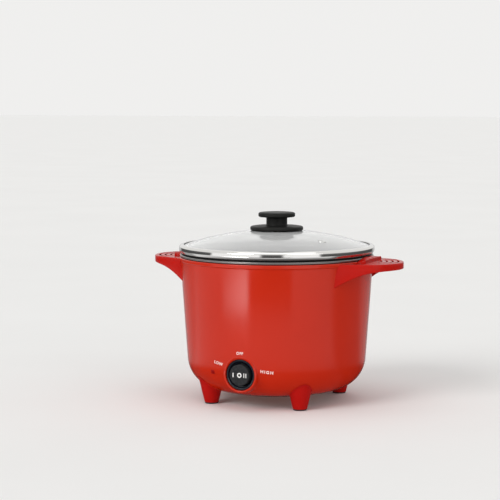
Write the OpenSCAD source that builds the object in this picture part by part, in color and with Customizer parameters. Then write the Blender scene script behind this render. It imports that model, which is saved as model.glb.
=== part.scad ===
// Electric multicooker pot with a lift-out inner pot and a lift-off glass lid.
// Millimetres, Z up. The origin is on the floor under the pot's centre and the switch faces -Y.

/* [Body] */
// Outer radius of the wall just under the collar
body_r = 122.1; // [116:0.1:128]
// Height of the flat underside above the floor
body_bottom = 15; // [13:0.5:17]
// Slope of the wall, in degrees from upright
body_draft = 4.05; // [3:0.05:4.5]
// Radius of the big lower edge
body_round = 41; // [38:0.5:43]
// Thickness of the shell's wall
shell_t = 1.5; // [1.2:0.1:1.8]
// Height of the collar
collar_h = 5.3; // [4.5:0.1:6]
// How far the collar stands out from the wall
collar_out = 1.4; // [0.8:0.1:1.6]

/* [Rim ring] */
// Thickness of the ring on the shell's edge
ring_t = 0.5; // [0.4:0.1:1]
// Length of the lip inside the shell
ring_lip_h = 7.5; // [5:0.1:8]
// Thickness of that lip
ring_lip_t = 1.3; // [1:0.1:1.5]

/* [Inner pot] */
// Height of the inner pot over its flange
pot_h = 113.3; // [108:0.1:120]
// Height of the pot's bottom above the switch's bezel
pot_clear = 7; // [6:0.1:9]
// Thickness of its wall and bottom
pot_t = 1.8; // [1.4:0.1:2.2]
// Slope of its wall, in degrees from upright
pot_draft = 5.4; // [5:0.1:6]
// Radius of its lower edge
pot_round = 14; // [10:0.5:18]
// Height of its rolled flange
flange_h = 3.1; // [2.6:0.1:3.4]
// Gap between the pot's wall and the rim ring's lip
pot_side_gap = 1; // [0.8:0.1:1.4]

/* [Handles] */
// Reach of a handle beyond the collar
handle_reach = 43.5; // [40:0.5:48]
// Radius of the handle's outer edge in plan
handle_arc_r = 52.5; // [48:0.5:56]
// Half width where the outer edge starts
handle_corner_y = 42; // [38:0.5:44]
// Half width at the root, inside the wall
handle_root_y = 66; // [62:0.5:68]
// Height of the grip's top below the collar's top
handle_drop = 1.7; // [1:0.1:2.5]
// Depth of the handle at its tip
handle_tip_h = 8.5; // [7.5:0.1:10]
// Depth of the handle at its root
handle_root_h = 30.8; // [27:0.1:32]
// Thickness of the handle's walls
handle_t = 3; // [2.4:0.1:3.4]
// Thickness of the grip plate
grip_t = 5; // [4.2:0.1:5.4]
// Width of a grip groove
groove_w = 2.4; // [1.6:0.1:3]
// Depth of a grip groove
groove_depth = 3; // [2:0.1:3.4]
// Distance from one groove to the next
groove_pitch = 7; // [6:0.1:7.6]
// Number of grip grooves
groove_count = 4; // [2:1:4]
// Height of the step next to the rim
step_h = 6.5; // [5:0.1:6.7]
// Height of the step at its outer edge
step_edge_h = 4.7; // [4:0.1:5]
// How far the step reaches beyond the collar
step_reach = 7; // [5:0.5:9]
// Half width of the step
step_y = 30; // [24:1:34]

/* [Feet] */
// Distance of a foot's axis out from the start of the rounded lower edge
foot_out = 17.8; // [15:0.1:19]
// Radius at the bottom of a foot
foot_r = 9; // [8.6:0.1:10]
// Flare of a foot, in degrees from upright
foot_flare = 13.2; // [10:0.1:14]
// Thickness of the rubber pad that shows
pad_t = 1.5; // [1.2:0.1:2.2]
// Radius of the rubber pad
pad_r = 8.5; // [7.5:0.1:8.5]

/* [Base and heater] */
// How far the heating plate's edge lies inside the flat of the pot's bottom
plate_in = 14.7; // [12.7:0.1:18.5]
// Thickness of the heating plate
plate_t = 8; // [7:0.1:9]
// Distance from the plate's edge in to the axis of a post
post_in = 17; // [16.6:0.1:17.4]
// Radius of a post below the heat shield
post_r = 6; // [5.2:0.1:6]
// Distance from a post's axis in to the edge of the hole in the shell's underside
base_hole_in = 8; // [7:0.5:12]
// Distance from a post's axis out to the edge of the base cover
cover_over = 7; // [6.4:0.1:8]
// Thickness of the base cover
cover_t = 1.7; // [1.4:0.1:2.2]
// Distance from the plate's edge in to the middle of the element's tube
element_in = 32; // [30:0.5:34]
// Radius of the heating element's tube
element_r = 3.5; // [3:0.1:4]
// How far the heat shield's edge lies inside the plate's
shield_in = 10; // [8:0.5:11]
// Distance from the heating plate down to the heat shield
shield_drop = 17.7; // [16:0.1:19]
// Thickness of the heat shield
shield_t = 0.8; // [0.6:0.1:1]

/* [Thermostat] */
// Radius of the sensor cup
sensor_r = 17; // [15:0.1:18]
// Radius of the sensor's stem
stem_r = 5; // [4:0.1:5.2]
// Wire radius of the sensor's spring
spring_wire_r = 0.7; // [0.5:0.05:0.8]
// Mean radius of the spring
spring_r = 9; // [8:0.1:10]
// Curls of the spring
spring_curls = 6; // [4:1:7]

/* [Switch] */
// Height of the switch's centre above the floor
switch_z = 46; // [45:0.5:47]
// Outer radius of the shell's seat for the switch
seat_r = 21.9; // [21.5:0.1:22.4]
// Radius of the switch's bezel
bezel_r = 19; // [18.7:0.1:19.3]
// How far the bezel lies behind the seat's front
bezel_in = 2.1; // [1.5:0.1:2.6]
// Radius of the rocker
rocker_r = 13; // [12:0.1:13.4]
// How far the rocker stands out from the bezel
rocker_out = 4; // [3:0.1:4.6]
// Radius of the rocker's pivot pin
rocker_pin_r = 1.2; // [1:0.05:1.5]

/* [Inlet and pilot lamp] */
// Height of the mains inlet's centre above the floor
inlet_z = 46; // [44:0.5:48]
// Width of the pilot lens
lens_w = 6; // [5:0.1:7]
// Height of the pilot lens
lens_h = 5; // [4.5:0.1:6]
// Angle of the pilot lens from the front
pilot_az = -21.3; // [-24:0.1:-20]

/* [Lid] */
// How far the lid's band stands out beyond the collar
lid_over = 0.5; // [0.2:0.1:1]
// Height of the glass dome's top above the inner pot's rim
dome_h = 30.7; // [28:0.1:33]
// Rise of the dome from the edge of the glass to its top
dome_rise = 20.7; // [19.6:0.1:21.8]
// Thickness of the glass
glass_t = 4; // [3.2:0.1:4.4]
// Thickness of the steel band
band_t = 0.8; // [0.6:0.1:1]
// Distance of the steam vent from the lid's axis
vent_at = 85.6; // [70:0.1:95]
// Angle of the steam vent from +X
vent_az = -26.4; // [-60:0.1:0]
// Radius of the vent's grommet
vent_r = 5; // [4.4:0.1:6]

/* [Knob] */
// Radius of the knob's base flange
knob_base_r = 33.6; // [31:0.1:36]
// Radius of the knob's neck
knob_neck_r = 13.3; // [11:0.1:15]
// Radius of the knob's top
knob_top_r = 23.3; // [20:0.1:26]
// Height of the knob above the dome
knob_h = 22; // [20:0.1:26]
// Radius of the steel washer under the glass
washer_r = 21; // [20:0.1:24]

/* [Hidden] */
$fn = 96;
// Clearances: pieces that touch, screws in their bores, moving pins, pieces that rest on each other, and
// loose holes
fit = 0.05;
bore_fit = 0.03;
pin_fit = 0.06;
rest_gap = 0.05;
slip = 0.2;
seat_gap = 0.3;
// How far a cut runs past what it cuts
over = 1;

// Shell: its height follows from the inner pot that it has to hold
body_top = switch_z + bezel_r + pot_clear + pot_h - flange_h - ring_t;
collar_z = body_top - collar_h;
collar_r = body_r + collar_out;
collar_step_h = 1;
collar_edge = 0.8;
draft_run = tan(body_draft);
round_z = body_bottom + body_round;
round_r = corner_r(body_r, collar_z, body_bottom, body_draft, body_round);
floor_z = body_bottom + shell_t;
wall_off = shell_t / cos(body_draft);
arc_steps = 18;

// Rim ring and inner pot
ring_top = body_top + ring_t;
ring_lip_r = outer_r(body_top - ring_lip_h) - wall_off - seat_gap;
ring_out_r = collar_r - 0.9;
pot_r = ring_lip_r - ring_lip_t - pot_side_gap;
flange_top = ring_top + flange_h;
flange_r = collar_r - 0.6;
bead_r = flange_h / 2;
pot_z = flange_top - pot_h;
pot_round_r = corner_r(pot_r, ring_top, pot_z, pot_draft, pot_round);
pot_off = pot_t / cos(pot_draft);
mouth_r = pot_r + (flange_h - 0.9) * tan(pot_draft) - pot_off;

// Handles
handle_top = body_top - handle_drop;
handle_tip_x = collar_r + handle_reach;
handle_arc_x = handle_tip_x - handle_arc_r;
handle_corner_x = handle_arc_x + sqrt(handle_arc_r * handle_arc_r - handle_corner_y * handle_corner_y);
handle_root_x = body_r - 25;
handle_slope = (handle_root_y - handle_corner_y) / (handle_corner_x - handle_root_x);
handle_wall_x = body_r - 17;
handle_power = 2.5;
groove_half_deg = 62;
groove_end_gap = 3;
groove_edge = 6.5;
step_x = collar_r + step_reach;
step_in = 30;
blank_h = 2 * handle_root_h;
trim_h = 20;

// Screws of the handles and feet
screw_r = 2;
head_r = 3.5;
head_t = 2;
handle_screw_az = 11.5;
handle_screw_z = handle_top - 11;
handle_screw_l = 10;
handle_boss_l = 13;
handle_boss_w = 9;
handle_boss_h = 18;
handle_boss_in = 6;
handle_bore_in = 2;
foot_screw_l = 11;
foot_circle_r = round_r + foot_out;
foot_tilt = asin(foot_out / body_round);
foot_head_in = 0.3;
foot_az = [-131.6, -48.4, 131.6, 48.4];
foot_in = 0.65 * body_round;
plug_r = 4;
plug_h = 3.5;

// Base and heater
plate_r = pot_round_r - plate_in;
post_circle_r = plate_r - post_in;
base_hole_r = post_circle_r - base_hole_in;
cover_r = post_circle_r + cover_over;
element_ring_r = plate_r - element_in;
shield_r = plate_r - shield_in;
plate_top = pot_z - seat_gap;
plate_z = plate_top - plate_t;
post_az = [90, 210, 330];
post_top_r = 4;
stud_r = 2.5;
stud_h = 5;
shield_top = plate_z - shield_drop;
shield_z = shield_top - shield_t;
shield_rim_h = 6;
element_gap_deg = 20;
terminal_z = shield_z - 15;
cold_end_z = shield_z - 8;
fuse_az = 150;
fuse_r = 2.5;
fuse_l = 12;
clip_sheet_t = 0.8;
fuse_circle_r = plate_r - 15;
earth_az = 108.4;
earth_circle_r = shield_r - 6.8;
earth_nut_h = 3;
vent_slots = 12;
slot_circle_r = post_circle_r - 29;
slot_l = 18;
slot_w = 3;
base_screw_l = 9;

// Terminal block
block_w = 16;
block_l = 40;
block_h = 14;
block_x = -36;
block_front = block_x + block_w;
block_pitch = 12;
block_screw_z = 6;
block_lead_z = 4;

// Thermostat
can_r = sensor_r + 4.7;
can_t = 1.2;
plate_hole_r = sensor_r + 2;
sensor_t = 1.5;
sensor_top = pot_z - 0.1;
sensor_z = plate_z - 3.8;
stem_z = shield_z - 5.2;
clip_z = stem_z + 0.9;
clip_t = 1;
clip_r = stem_r + 2.5;
clip_in = 1;
spring_low = shield_top + can_t + spring_wire_r + fit;
spring_high = sensor_top - sensor_t - spring_wire_r - fit;

// Switch, in a frame whose Z points out of the front
face_y = outer_r(switch_z + seat_r) + 0.2;
seat_depth = bezel_in + 2;
seat_l = 20.6;
seat_draft = 5;
seat_back_r = seat_r + seat_l * tan(seat_draft);
barrel_r = bezel_r - 1.1;
bezel_hole_r = rocker_r + 2.3;
pivot_in = bezel_in + 5.5;
rocker_front = rocker_out - bezel_in;
rocker_back = pivot_in + 3.4;
barrel_l = 26;
barrel_floor = 19;
tab_w = 6.3;
tab_t = 0.8;
tab_gap = 6;
tab_end = 34.6;
tab_in = 2.5;
nut_h = 4;

// Mains inlet, in a frame whose Z points out of the back
pad_w = 56;
pad_h = 27;
pad_wall = 2.5;
pad_l = 17;
pad_corner = 4;
inlet_w = 27;
inlet_h = 20;
inlet_corner = 2;
inlet_screw_r = 1.7;
inlet_screw_l = 10.5;
inlet_head_r = 3.3;
inlet_head_t = 1.8;
inlet_l = 22;
flange_t = 2.5;
socket_w = 24.4;
socket_h = 16.4;
socket_floor = 15.5;
inlet_hole_x = 20;
inlet_tab_end = 29;
cut_l = 40;
pin_x = 7;
pin_z = 2;
pin_t = 2;
pin_w = 4;
pin_places = [[-pin_x, -pin_z], [pin_x, -pin_z], [0, pin_z]];

// Leads
lead_r = 1.3;
earth_x = earth_circle_r * cos(earth_az);
earth_y = earth_circle_r * sin(earth_az);
inlet_y = face_y - inlet_tab_end - fit;
tab_y = tab_end - face_y + fit;
low_z = body_bottom + 9;
lead_z = body_bottom + block_lead_z;

// Pilot lamp
pilot_tilt = asin((round_z - switch_z) / body_round);

// Lid
dome_top = flange_top + dome_h;
band_r = collar_r + lid_over;
band_low = flange_top + 2.3;
skirt_r = mouth_r - 0.9;
seat_out_r = skirt_r + 4.2;
shelf_top = band_low + band_t;
skirt_z = ring_top + 0.3;
glass_r = band_r - 3.7;
dome_r = (glass_r * glass_r + dome_rise * dome_rise) / (2 * dome_rise);
flange_in_r = band_r - 6.2;
vent_tilt = asin(vent_at / dome_r);

// Knob
hub_z = dome_top + 1.6;
hub_r = 18;
base_top = hub_z + 3.4;
knob_top = dome_top + knob_h;
disc_z = knob_top - 5;
knob_screw_r = 2.5;
glass_hole_r = 5;
washer_z = dome_top - glass_t - 2.5;
washer_t = 1.2;

// Radius at which a rounded lower edge starts, under a sloped wall
function corner_r(top_r, top_z, low_z, draft, rad) =
    top_r - (top_z - low_z - rad) * tan(draft) - rad / cos(draft);

// Outer radius of the shell below its collar at a height
function outer_r(z) =
    z > round_z - body_round * sin(body_draft)
    ? body_r - (collar_z - z) * draft_run
    : round_r + sqrt(body_round * body_round - (round_z - z) * (round_z - z));

// Points of an arc about [x, y]
function arc(x, y, r, from, to, steps) =
    [for (i = [0:steps]) let (a = from + (to - from) * i / steps) [x + r * cos(a), y + r * sin(a)]];

// Heights of the dome's two faces at a radius
function dome_z(r) = dome_top - dome_r + sqrt(dome_r * dome_r - r * r);
function dome_under(r) = dome_top - dome_r + sqrt((dome_r - glass_t) * (dome_r - glass_t) - r * r);

// Outline of a rounded rectangle about the origin
function rounded(w, h, r) = concat(
    arc(w / 2 - r, h / 2 - r, r, 0, 90, 6),
    arc(r - w / 2, h / 2 - r, r, 90, 180, 6),
    arc(r - w / 2, r - h / 2, r, 180, 270, 6),
    arc(w / 2 - r, r - h / 2, r, 270, 360, 6));

// Corner of the handle's plan at an inset from its edge: the side line meets the outer arc
function handle_corner(inset) =
    let (y0 = handle_root_y - inset * sqrt(1 + handle_slope * handle_slope),
        a = 1 + handle_slope * handle_slope,
        dx = handle_root_x - handle_arc_x,
        b = dx - handle_slope * y0,
        c = dx * dx + y0 * y0 - (handle_arc_r - inset) * (handle_arc_r - inset),
        run = (sqrt(b * b - a * c) - b) / a)
    [handle_root_x + run, y0 - handle_slope * run];

// Plan of the right handle at an inset from its edge
function handle_plan(inset) =
    let (corner = handle_corner(inset),
        half = asin(corner[1] / (handle_arc_r - inset)),
        y0 = handle_root_y - inset * sqrt(1 + handle_slope * handle_slope))
    concat([[handle_root_x, -y0]],
        arc(handle_arc_x, 0, handle_arc_r - inset, -half, half, 24),
        [[handle_root_x, y0]]);

// Depth of the handle below its top at a distance from the pot's axis
function handle_depth(x) = handle_tip_h + (handle_root_h - handle_tip_h)
    * pow((handle_tip_x - x) / (handle_tip_x - handle_wall_x), handle_power);

// Rings of a tube along a path, each square to it
function unit(v) = v / norm(v);
function along(path, i) =
    let (last = len(path) - 1)
    unit(path[min(i + 1, last)] - path[max(i - 1, 0)]);

// A closed tube along a path; side is a direction that the path never takes
module tube(path, r, sides, side) {
    last = len(path) - 1;
    points = [for (i = [0:last]) let (t = along(path, i), u = unit(cross(side, t)), v = cross(t, u))
        for (k = [0:sides - 1]) path[i] + r * (cos(360 * k / sides) * u + sin(360 * k / sides) * v)];
    walls = [for (i = [0:last - 1], k = [0:sides - 1])
        let (a = i * sides + k, b = i * sides + (k + 1) % sides, c = a + sides, d = b + sides)
        each [[a, c, b], [b, c, d]]];
    first_cap = [for (k = [1:sides - 2]) [0, k, k + 1]];
    last_cap = [for (k = [1:sides - 2]) [last * sides, last * sides + k + 1, last * sides + k]];
    polyhedron(points = points, faces = concat(first_cap, walls, last_cap), convexity = 6);
}

// A smooth curve through the points of a route, with straight ends
function curve(p, steps) =
    let (n = len(p))
    concat([p[0]],
        [for (i = [1:n - 3], s = [0:steps - 1]) let (t = s / steps)
            0.5 * (2 * p[i] + (p[i + 1] - p[i - 1]) * t
                + (2 * p[i - 1] - 5 * p[i] + 4 * p[i + 1] - p[i + 2]) * t * t
                + (3 * p[i] - 3 * p[i + 1] + p[i + 2] - p[i - 1]) * t * t * t)],
        [p[n - 2], p[n - 1]]);

// Places that several pieces share
module at_switch() {
    translate([0, -face_y, switch_z]) rotate([90, 0, 0]) children();
}
module at_inlet() {
    translate([0, face_y, inlet_z]) rotate([90, 0, 180]) children();
}
module at_pilot() {
    rotate([0, 0, pilot_az]) translate([0, -round_r, round_z]) rotate([90 + pilot_tilt, 0, 0]) children();
}
module at_foot_screw(az) {
    rotate([0, 0, az]) translate([round_r, 0, round_z]) rotate([0, 180 - foot_tilt, 0]) children();
}
module at_handle_screw(az) {
    rotate([0, 0, az]) translate([outer_r(handle_screw_z), 0, handle_screw_z])
        rotate([0, 90 + body_draft, 0]) children();
}
module at_each(angles, r, z) {
    for (a = angles) rotate([0, 0, a]) translate([r, 0, z]) children();
}
module at_vent() {
    translate([0, 0, dome_top - dome_r]) rotate([0, vent_tilt, vent_az]) children();
}
module ring(r_out, r_in, h) {
    difference() {
        cylinder(r = r_out, h = h);
        translate([0, 0, -over]) cylinder(r = r_in, h = h + 2 * over);
    }
}

// Solid of the body's outer form, grown by a gap, that trims what meets it
module body_form(gap) {
    rotate_extrude() polygon(concat(
        [[0, body_bottom - gap]],
        arc(round_r, round_z, body_round + gap, -90, -body_draft, arc_steps),
        [[body_r + gap, collar_z], [collar_r + gap, collar_z + collar_step_h],
            [collar_r + gap, body_top + trim_h], [0, body_top + trim_h]]));
}

module outer_shell() {
    color([0.76, 0.16, 0.11]) difference() {
        union() {
            rotate_extrude() polygon(concat(
                [[base_hole_r, body_bottom]],
                arc(round_r, round_z, body_round, -90, -body_draft, arc_steps),
                [[body_r, collar_z], [collar_r, collar_z + collar_step_h],
                    [collar_r, body_top - collar_edge], [collar_r - collar_edge, body_top],
                    [outer_r(body_top) - wall_off, body_top]],
                arc(round_r, round_z, body_round - shell_t, -body_draft, -90, arc_steps),
                [[base_hole_r, floor_z]]));
            at_switch() translate([0, 0, -seat_l]) cylinder(r1 = seat_back_r, r2 = seat_r, h = seat_l);
            at_inlet() translate([0, 0, -pad_l]) linear_extrude(height = pad_l)
                polygon(rounded(pad_w, pad_h, pad_corner));
        }
        at_switch() translate([0, 0, -cut_l]) cylinder(r = barrel_r + slip, h = cut_l + over);
        at_switch() translate([0, 0, -seat_depth]) cylinder(r = bezel_r + slip, h = seat_depth + over);
        at_inlet() translate([0, 0, -cut_l]) linear_extrude(height = cut_l - pad_wall)
            polygon(rounded(pad_w - 2 * pad_wall, pad_h - 2 * pad_wall, pad_corner - pad_wall + 0.5));
        at_inlet() translate([0, 0, -pad_l]) linear_extrude(height = pad_l + over)
            polygon(rounded(inlet_w + slip, inlet_h + slip, inlet_corner));
        at_inlet() for (x = [-inlet_hole_x, inlet_hole_x]) translate([x, 0, -pad_l])
            cylinder(r = inlet_screw_r + fit, h = pad_l + over);
        at_pilot() translate([0, 0, body_round - 2 * shell_t]) linear_extrude(height = 4 * shell_t)
            square([lens_w + slip / 2, lens_h + slip / 2], center = true);
        for (a = foot_az) at_foot_screw(a) translate([0, 0, body_round - 2 * shell_t])
            cylinder(r = screw_r + slip, h = 4 * shell_t);
        at_each(post_az, post_circle_r, body_bottom - over)
            cylinder(r = screw_r + slip, h = shell_t + 2 * over);
        for (side = [0, 180], a = [-handle_screw_az, handle_screw_az])
            at_handle_screw(side + a) translate([0, 0, -2 * shell_t])
                cylinder(r = screw_r + slip, h = 4 * shell_t);
    }
}

module rim_ring() {
    lip_in = ring_lip_r - ring_lip_t;
    color([0.07, 0.07, 0.07]) rotate_extrude() polygon([
        [lip_in, body_top - ring_lip_h], [ring_lip_r, body_top - ring_lip_h],
        [ring_lip_r, body_top], [ring_out_r, body_top], [ring_out_r, ring_top], [lip_in, ring_top]]);
}

module right_handle() {
    steps = 12;
    reach = handle_tip_x - handle_root_x;
    difference() {
        union() {
            intersection() {
                rotate([90, 0, 0]) translate([0, 0, -handle_root_y - over])
                    linear_extrude(height = 2 * (handle_root_y + over)) polygon(concat(
                    [[handle_root_x, handle_top]],
                    [for (i = [0:steps]) let (x = handle_root_x + reach * i / steps)
                        [x, handle_top - handle_depth(x)]],
                    [[handle_tip_x, handle_top]]));
                union() {
                    difference() {
                        translate([0, 0, handle_top - blank_h]) linear_extrude(height = blank_h)
                            polygon(handle_plan(0));
                        translate([0, 0, handle_top - blank_h - over])
                            linear_extrude(height = blank_h + over - grip_t) polygon(handle_plan(handle_t));
                    }
                    for (a = [-handle_screw_az, handle_screw_az]) rotate([0, 0, a])
                        translate([body_r - handle_boss_in, -handle_boss_w / 2, handle_top - handle_boss_h])
                            cube([handle_boss_in + handle_boss_l, handle_boss_w, handle_boss_h - grip_t / 2]);
                }
            }
            rotate([90, 0, 0]) translate([0, 0, -step_y]) linear_extrude(height = 2 * step_y) polygon([
                [step_x - step_in, handle_top - grip_t / 2], [step_x, handle_top - grip_t / 2],
                [step_x, handle_top + step_edge_h], [collar_r, handle_top + step_h],
                [step_x - step_in, handle_top + step_h]]);
        }
        body_form(fit);
        for (i = [0:groove_count - 1])
            let (r = handle_arc_r - groove_edge - i * groove_pitch,
                half = min(groove_half_deg, acos((step_x + groove_end_gap - handle_arc_x) / r)))
            translate([handle_arc_x, 0, handle_top - groove_depth]) rotate([0, 0, -half])
                rotate_extrude(angle = 2 * half)
                    translate([r - groove_w / 2, 0]) square([groove_w, groove_depth + over]);
        for (a = [-handle_screw_az, handle_screw_az]) at_handle_screw(a) translate([0, 0, -handle_bore_in])
            cylinder(r = screw_r + bore_fit, h = handle_bore_in + seat_gap + handle_screw_l);
    }
}
module handle_right() {
    color([0.76, 0.16, 0.11]) right_handle();
}
module handle_left() {
    color([0.76, 0.16, 0.11]) mirror([1, 0, 0]) right_handle();
}
module handle_screws() {
    under = shell_t + fit;
    color("silver") for (side = [0, 180], a = [-handle_screw_az, handle_screw_az])
        at_handle_screw(side + a) {
            translate([0, 0, -under - head_t]) cylinder(r = head_r, h = head_t);
            translate([0, 0, -under - head_t / 2])
                cylinder(r = screw_r, h = under + head_t / 2 + handle_screw_l);
        }
}

module foot(az) {
    height = body_bottom + foot_in - pad_t;
    color([0.76, 0.16, 0.11]) difference() {
        rotate([0, 0, az]) translate([foot_circle_r, 0, pad_t])
            cylinder(r1 = foot_r, r2 = foot_r + height * tan(foot_flare), h = height);
        body_form(fit);
        rotate([0, 0, az]) translate([foot_circle_r, 0, pad_t - over])
            cylinder(r = plug_r + fit, h = over + plug_h + 4 * fit);
        at_foot_screw(az) translate([0, 0, body_round - handle_bore_in])
            cylinder(r = screw_r + bore_fit, h = foot_screw_l);
    }
}
module pad(az) {
    color([0.09, 0.08, 0.08]) rotate([0, 0, az]) translate([foot_circle_r, 0, 0]) {
        cylinder(r = pad_r, h = pad_t);
        translate([0, 0, pad_t / 2]) cylinder(r = plug_r, h = pad_t / 2 + plug_h);
    }
}
module foot_screws() {
    head_z = body_round - shell_t - foot_head_in;
    end_z = body_round + foot_screw_l - handle_bore_in - seat_gap;
    color("silver") for (a = foot_az) at_foot_screw(a) {
        translate([0, 0, head_z - head_t]) cylinder(r = head_r, h = head_t);
        translate([0, 0, head_z - head_t / 2]) cylinder(r = screw_r, h = end_z - head_z + head_t / 2);
    }
}

module base_cover() {
    color([0.12, 0.12, 0.12]) translate([0, 0, body_bottom - cover_t]) difference() {
        cylinder(r = cover_r, h = cover_t);
        at_each(post_az, post_circle_r, -over) cylinder(r = screw_r + slip, h = cover_t + 2 * over);
        at_each([for (i = [1:vent_slots]) 360 * i / vent_slots], slot_circle_r, -over)
            linear_extrude(height = cover_t + 2 * over) square([slot_l, slot_w], center = true);
    }
}
module base_screws() {
    color("silver") at_each(post_az, post_circle_r, body_bottom - cover_t) {
        translate([0, 0, -head_t]) cylinder(r = head_r, h = head_t);
        translate([0, 0, -head_t / 2])
            cylinder(r = screw_r, h = head_t / 2 + cover_t + shell_t + base_screw_l);
    }
}
module plate_posts() {
    color("silver") at_each(post_az, post_circle_r, 0) difference() {
        union() {
            translate([0, 0, floor_z]) cylinder(r = post_r, h = shield_z - floor_z);
            translate([0, 0, shield_z - over]) cylinder(r = post_top_r, h = plate_z - shield_z + over);
            translate([0, 0, plate_z - over]) cylinder(r = stud_r, h = stud_h + over);
        }
        translate([0, 0, floor_z - over]) cylinder(r = screw_r + bore_fit, h = base_screw_l + 0.5 + over);
    }
}

module heat_shield() {
    color([0.8, 0.8, 0.8]) difference() {
        union() {
            translate([0, 0, shield_z]) cylinder(r = shield_r, h = shield_t);
            translate([0, 0, shield_z]) ring(shield_r, shield_r - shield_t, shield_rim_h);
        }
        at_each(post_az, post_circle_r, shield_z - over)
            cylinder(r = post_top_r + fit, h = shield_t + 2 * over);
        translate([0, 0, shield_z - over]) cylinder(r = clip_r + 0.5, h = shield_t + 2 * over);
        at_each([-element_gap_deg, element_gap_deg], element_ring_r, shield_z - over)
            cylinder(r = element_r + 1.5, h = shield_t + 2 * over);
        translate([earth_x, earth_y, shield_z - over])
            cylinder(r = screw_r + bore_fit, h = shield_t + 2 * over);
    }
}
module heating_plate() {
    color([0.72, 0.72, 0.74]) difference() {
        translate([0, 0, plate_z]) cylinder(r = plate_r, h = plate_t);
        translate([0, 0, plate_z - over]) cylinder(r = plate_hole_r, h = plate_t + 2 * over);
        at_each(post_az, post_circle_r, plate_z - over)
            cylinder(r = stud_r + bore_fit, h = stud_h + slip + over);
        translate([0, 0, plate_z]) rotate_extrude()
            translate([element_ring_r, 0]) circle(r = element_r + fit);
    }
}
module heating_element() {
    sweep = 360 - 2 * element_gap_deg;
    color([0.35, 0.35, 0.36]) {
        translate([0, 0, plate_z]) rotate([0, 0, element_gap_deg]) rotate_extrude(angle = sweep)
            translate([element_ring_r, 0]) circle(r = element_r);
        at_each([-element_gap_deg, element_gap_deg], element_ring_r, cold_end_z)
            cylinder(r = element_r - 0.4, h = plate_z - cold_end_z);
    }
}
module element_terminals() {
    color("goldenrod") at_each([-element_gap_deg, element_gap_deg], element_ring_r, terminal_z)
        cylinder(r = 1.5, h = cold_end_z - terminal_z);
}

module thermostat_can() {
    color("silver") translate([0, 0, shield_top]) difference() {
        cylinder(r = can_r, h = shield_drop);
        translate([0, 0, can_t]) cylinder(r = can_r - can_t, h = shield_drop);
        translate([0, 0, -over]) cylinder(r = stem_r + pin_fit, h = can_t + 2 * over);
    }
}
module thermostat_spring() {
    rings = 8 * spring_curls;
    rise = spring_high - spring_low;
    points = [for (i = [0:rings]) let (a = 360 * spring_curls * i / rings)
        [spring_r * cos(a), spring_r * sin(a), spring_low + rise * i / rings]];
    reach = [for (i = [0:rings], j = [i + 5:rings]) if (j <= rings) norm(points[i] - points[j])];
    echo(spring_gap = min(reach) - 2 * spring_wire_r);
    color("silver") tube(points, spring_wire_r, 6, [0, 0, 1]);
}
module sensor_cup() {
    color([0.78, 0.78, 0.8]) difference() {
        union() {
            translate([0, 0, sensor_z]) cylinder(r = sensor_r, h = sensor_top - sensor_z);
            translate([0, 0, stem_z]) cylinder(r = stem_r, h = sensor_top - stem_z);
        }
        translate([0, 0, sensor_z - over])
            ring(sensor_r - sensor_t, stem_r, sensor_top - sensor_t - sensor_z + over);
        translate([0, 0, clip_z]) ring(stem_r + over, stem_r - clip_in, clip_t);
    }
}
module stem_clip() {
    color("dimgray") translate([0, 0, clip_z + fit / 2])
        ring(clip_r, stem_r - clip_in + bore_fit, clip_t - fit);
}

module thermal_fuse() {
    color([0.85, 0.83, 0.78]) rotate([0, 0, fuse_az])
        translate([fuse_circle_r, 0, plate_z - fuse_r - fit]) rotate([90, 0, 0]) {
            cylinder(r = fuse_r, h = fuse_l, center = true);
            cylinder(r = fuse_r / 4, h = 2 * fuse_l, center = true);
        }
}
module fuse_clip() {
    inner = fuse_r + 2 * fit;
    outer = inner + clip_sheet_t;
    color("silver") rotate([0, 0, fuse_az]) translate([fuse_circle_r, 0, plate_z]) rotate([90, 0, 0])
        linear_extrude(height = 5, center = true) polygon(concat(
            [[-9, 0], [-9, -clip_sheet_t], [-outer, -clip_sheet_t]],
            arc(0, -fuse_r - fit, outer, 180, 360, 12),
            [[outer, -clip_sheet_t], [9, -clip_sheet_t], [9, 0], [inner, 0]],
            arc(0, -fuse_r - fit, inner, 360, 180, 12),
            [[-inner, 0]]));
}
module terminal_block() {
    color([0.93, 0.91, 0.86]) difference() {
        translate([block_x, -block_l / 2, body_bottom]) cube([block_w, block_l, block_h]);
        for (i = [-1:1]) translate([block_x + block_w / 2, i * block_pitch, body_bottom]) {
            translate([0, 0, block_screw_z]) cylinder(r = screw_r + bore_fit, h = block_h);
            translate([0, 0, block_lead_z]) rotate([0, 90, 0])
                cylinder(r = lead_r + seat_gap, h = 2 * block_w, center = true);
        }
    }
}
module block_screws() {
    color("goldenrod") for (i = [-1:1])
        translate([block_x + block_w / 2, i * block_pitch, body_bottom + block_screw_z])
            cylinder(r = screw_r, h = block_h - block_screw_z + 0.8);
}

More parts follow.
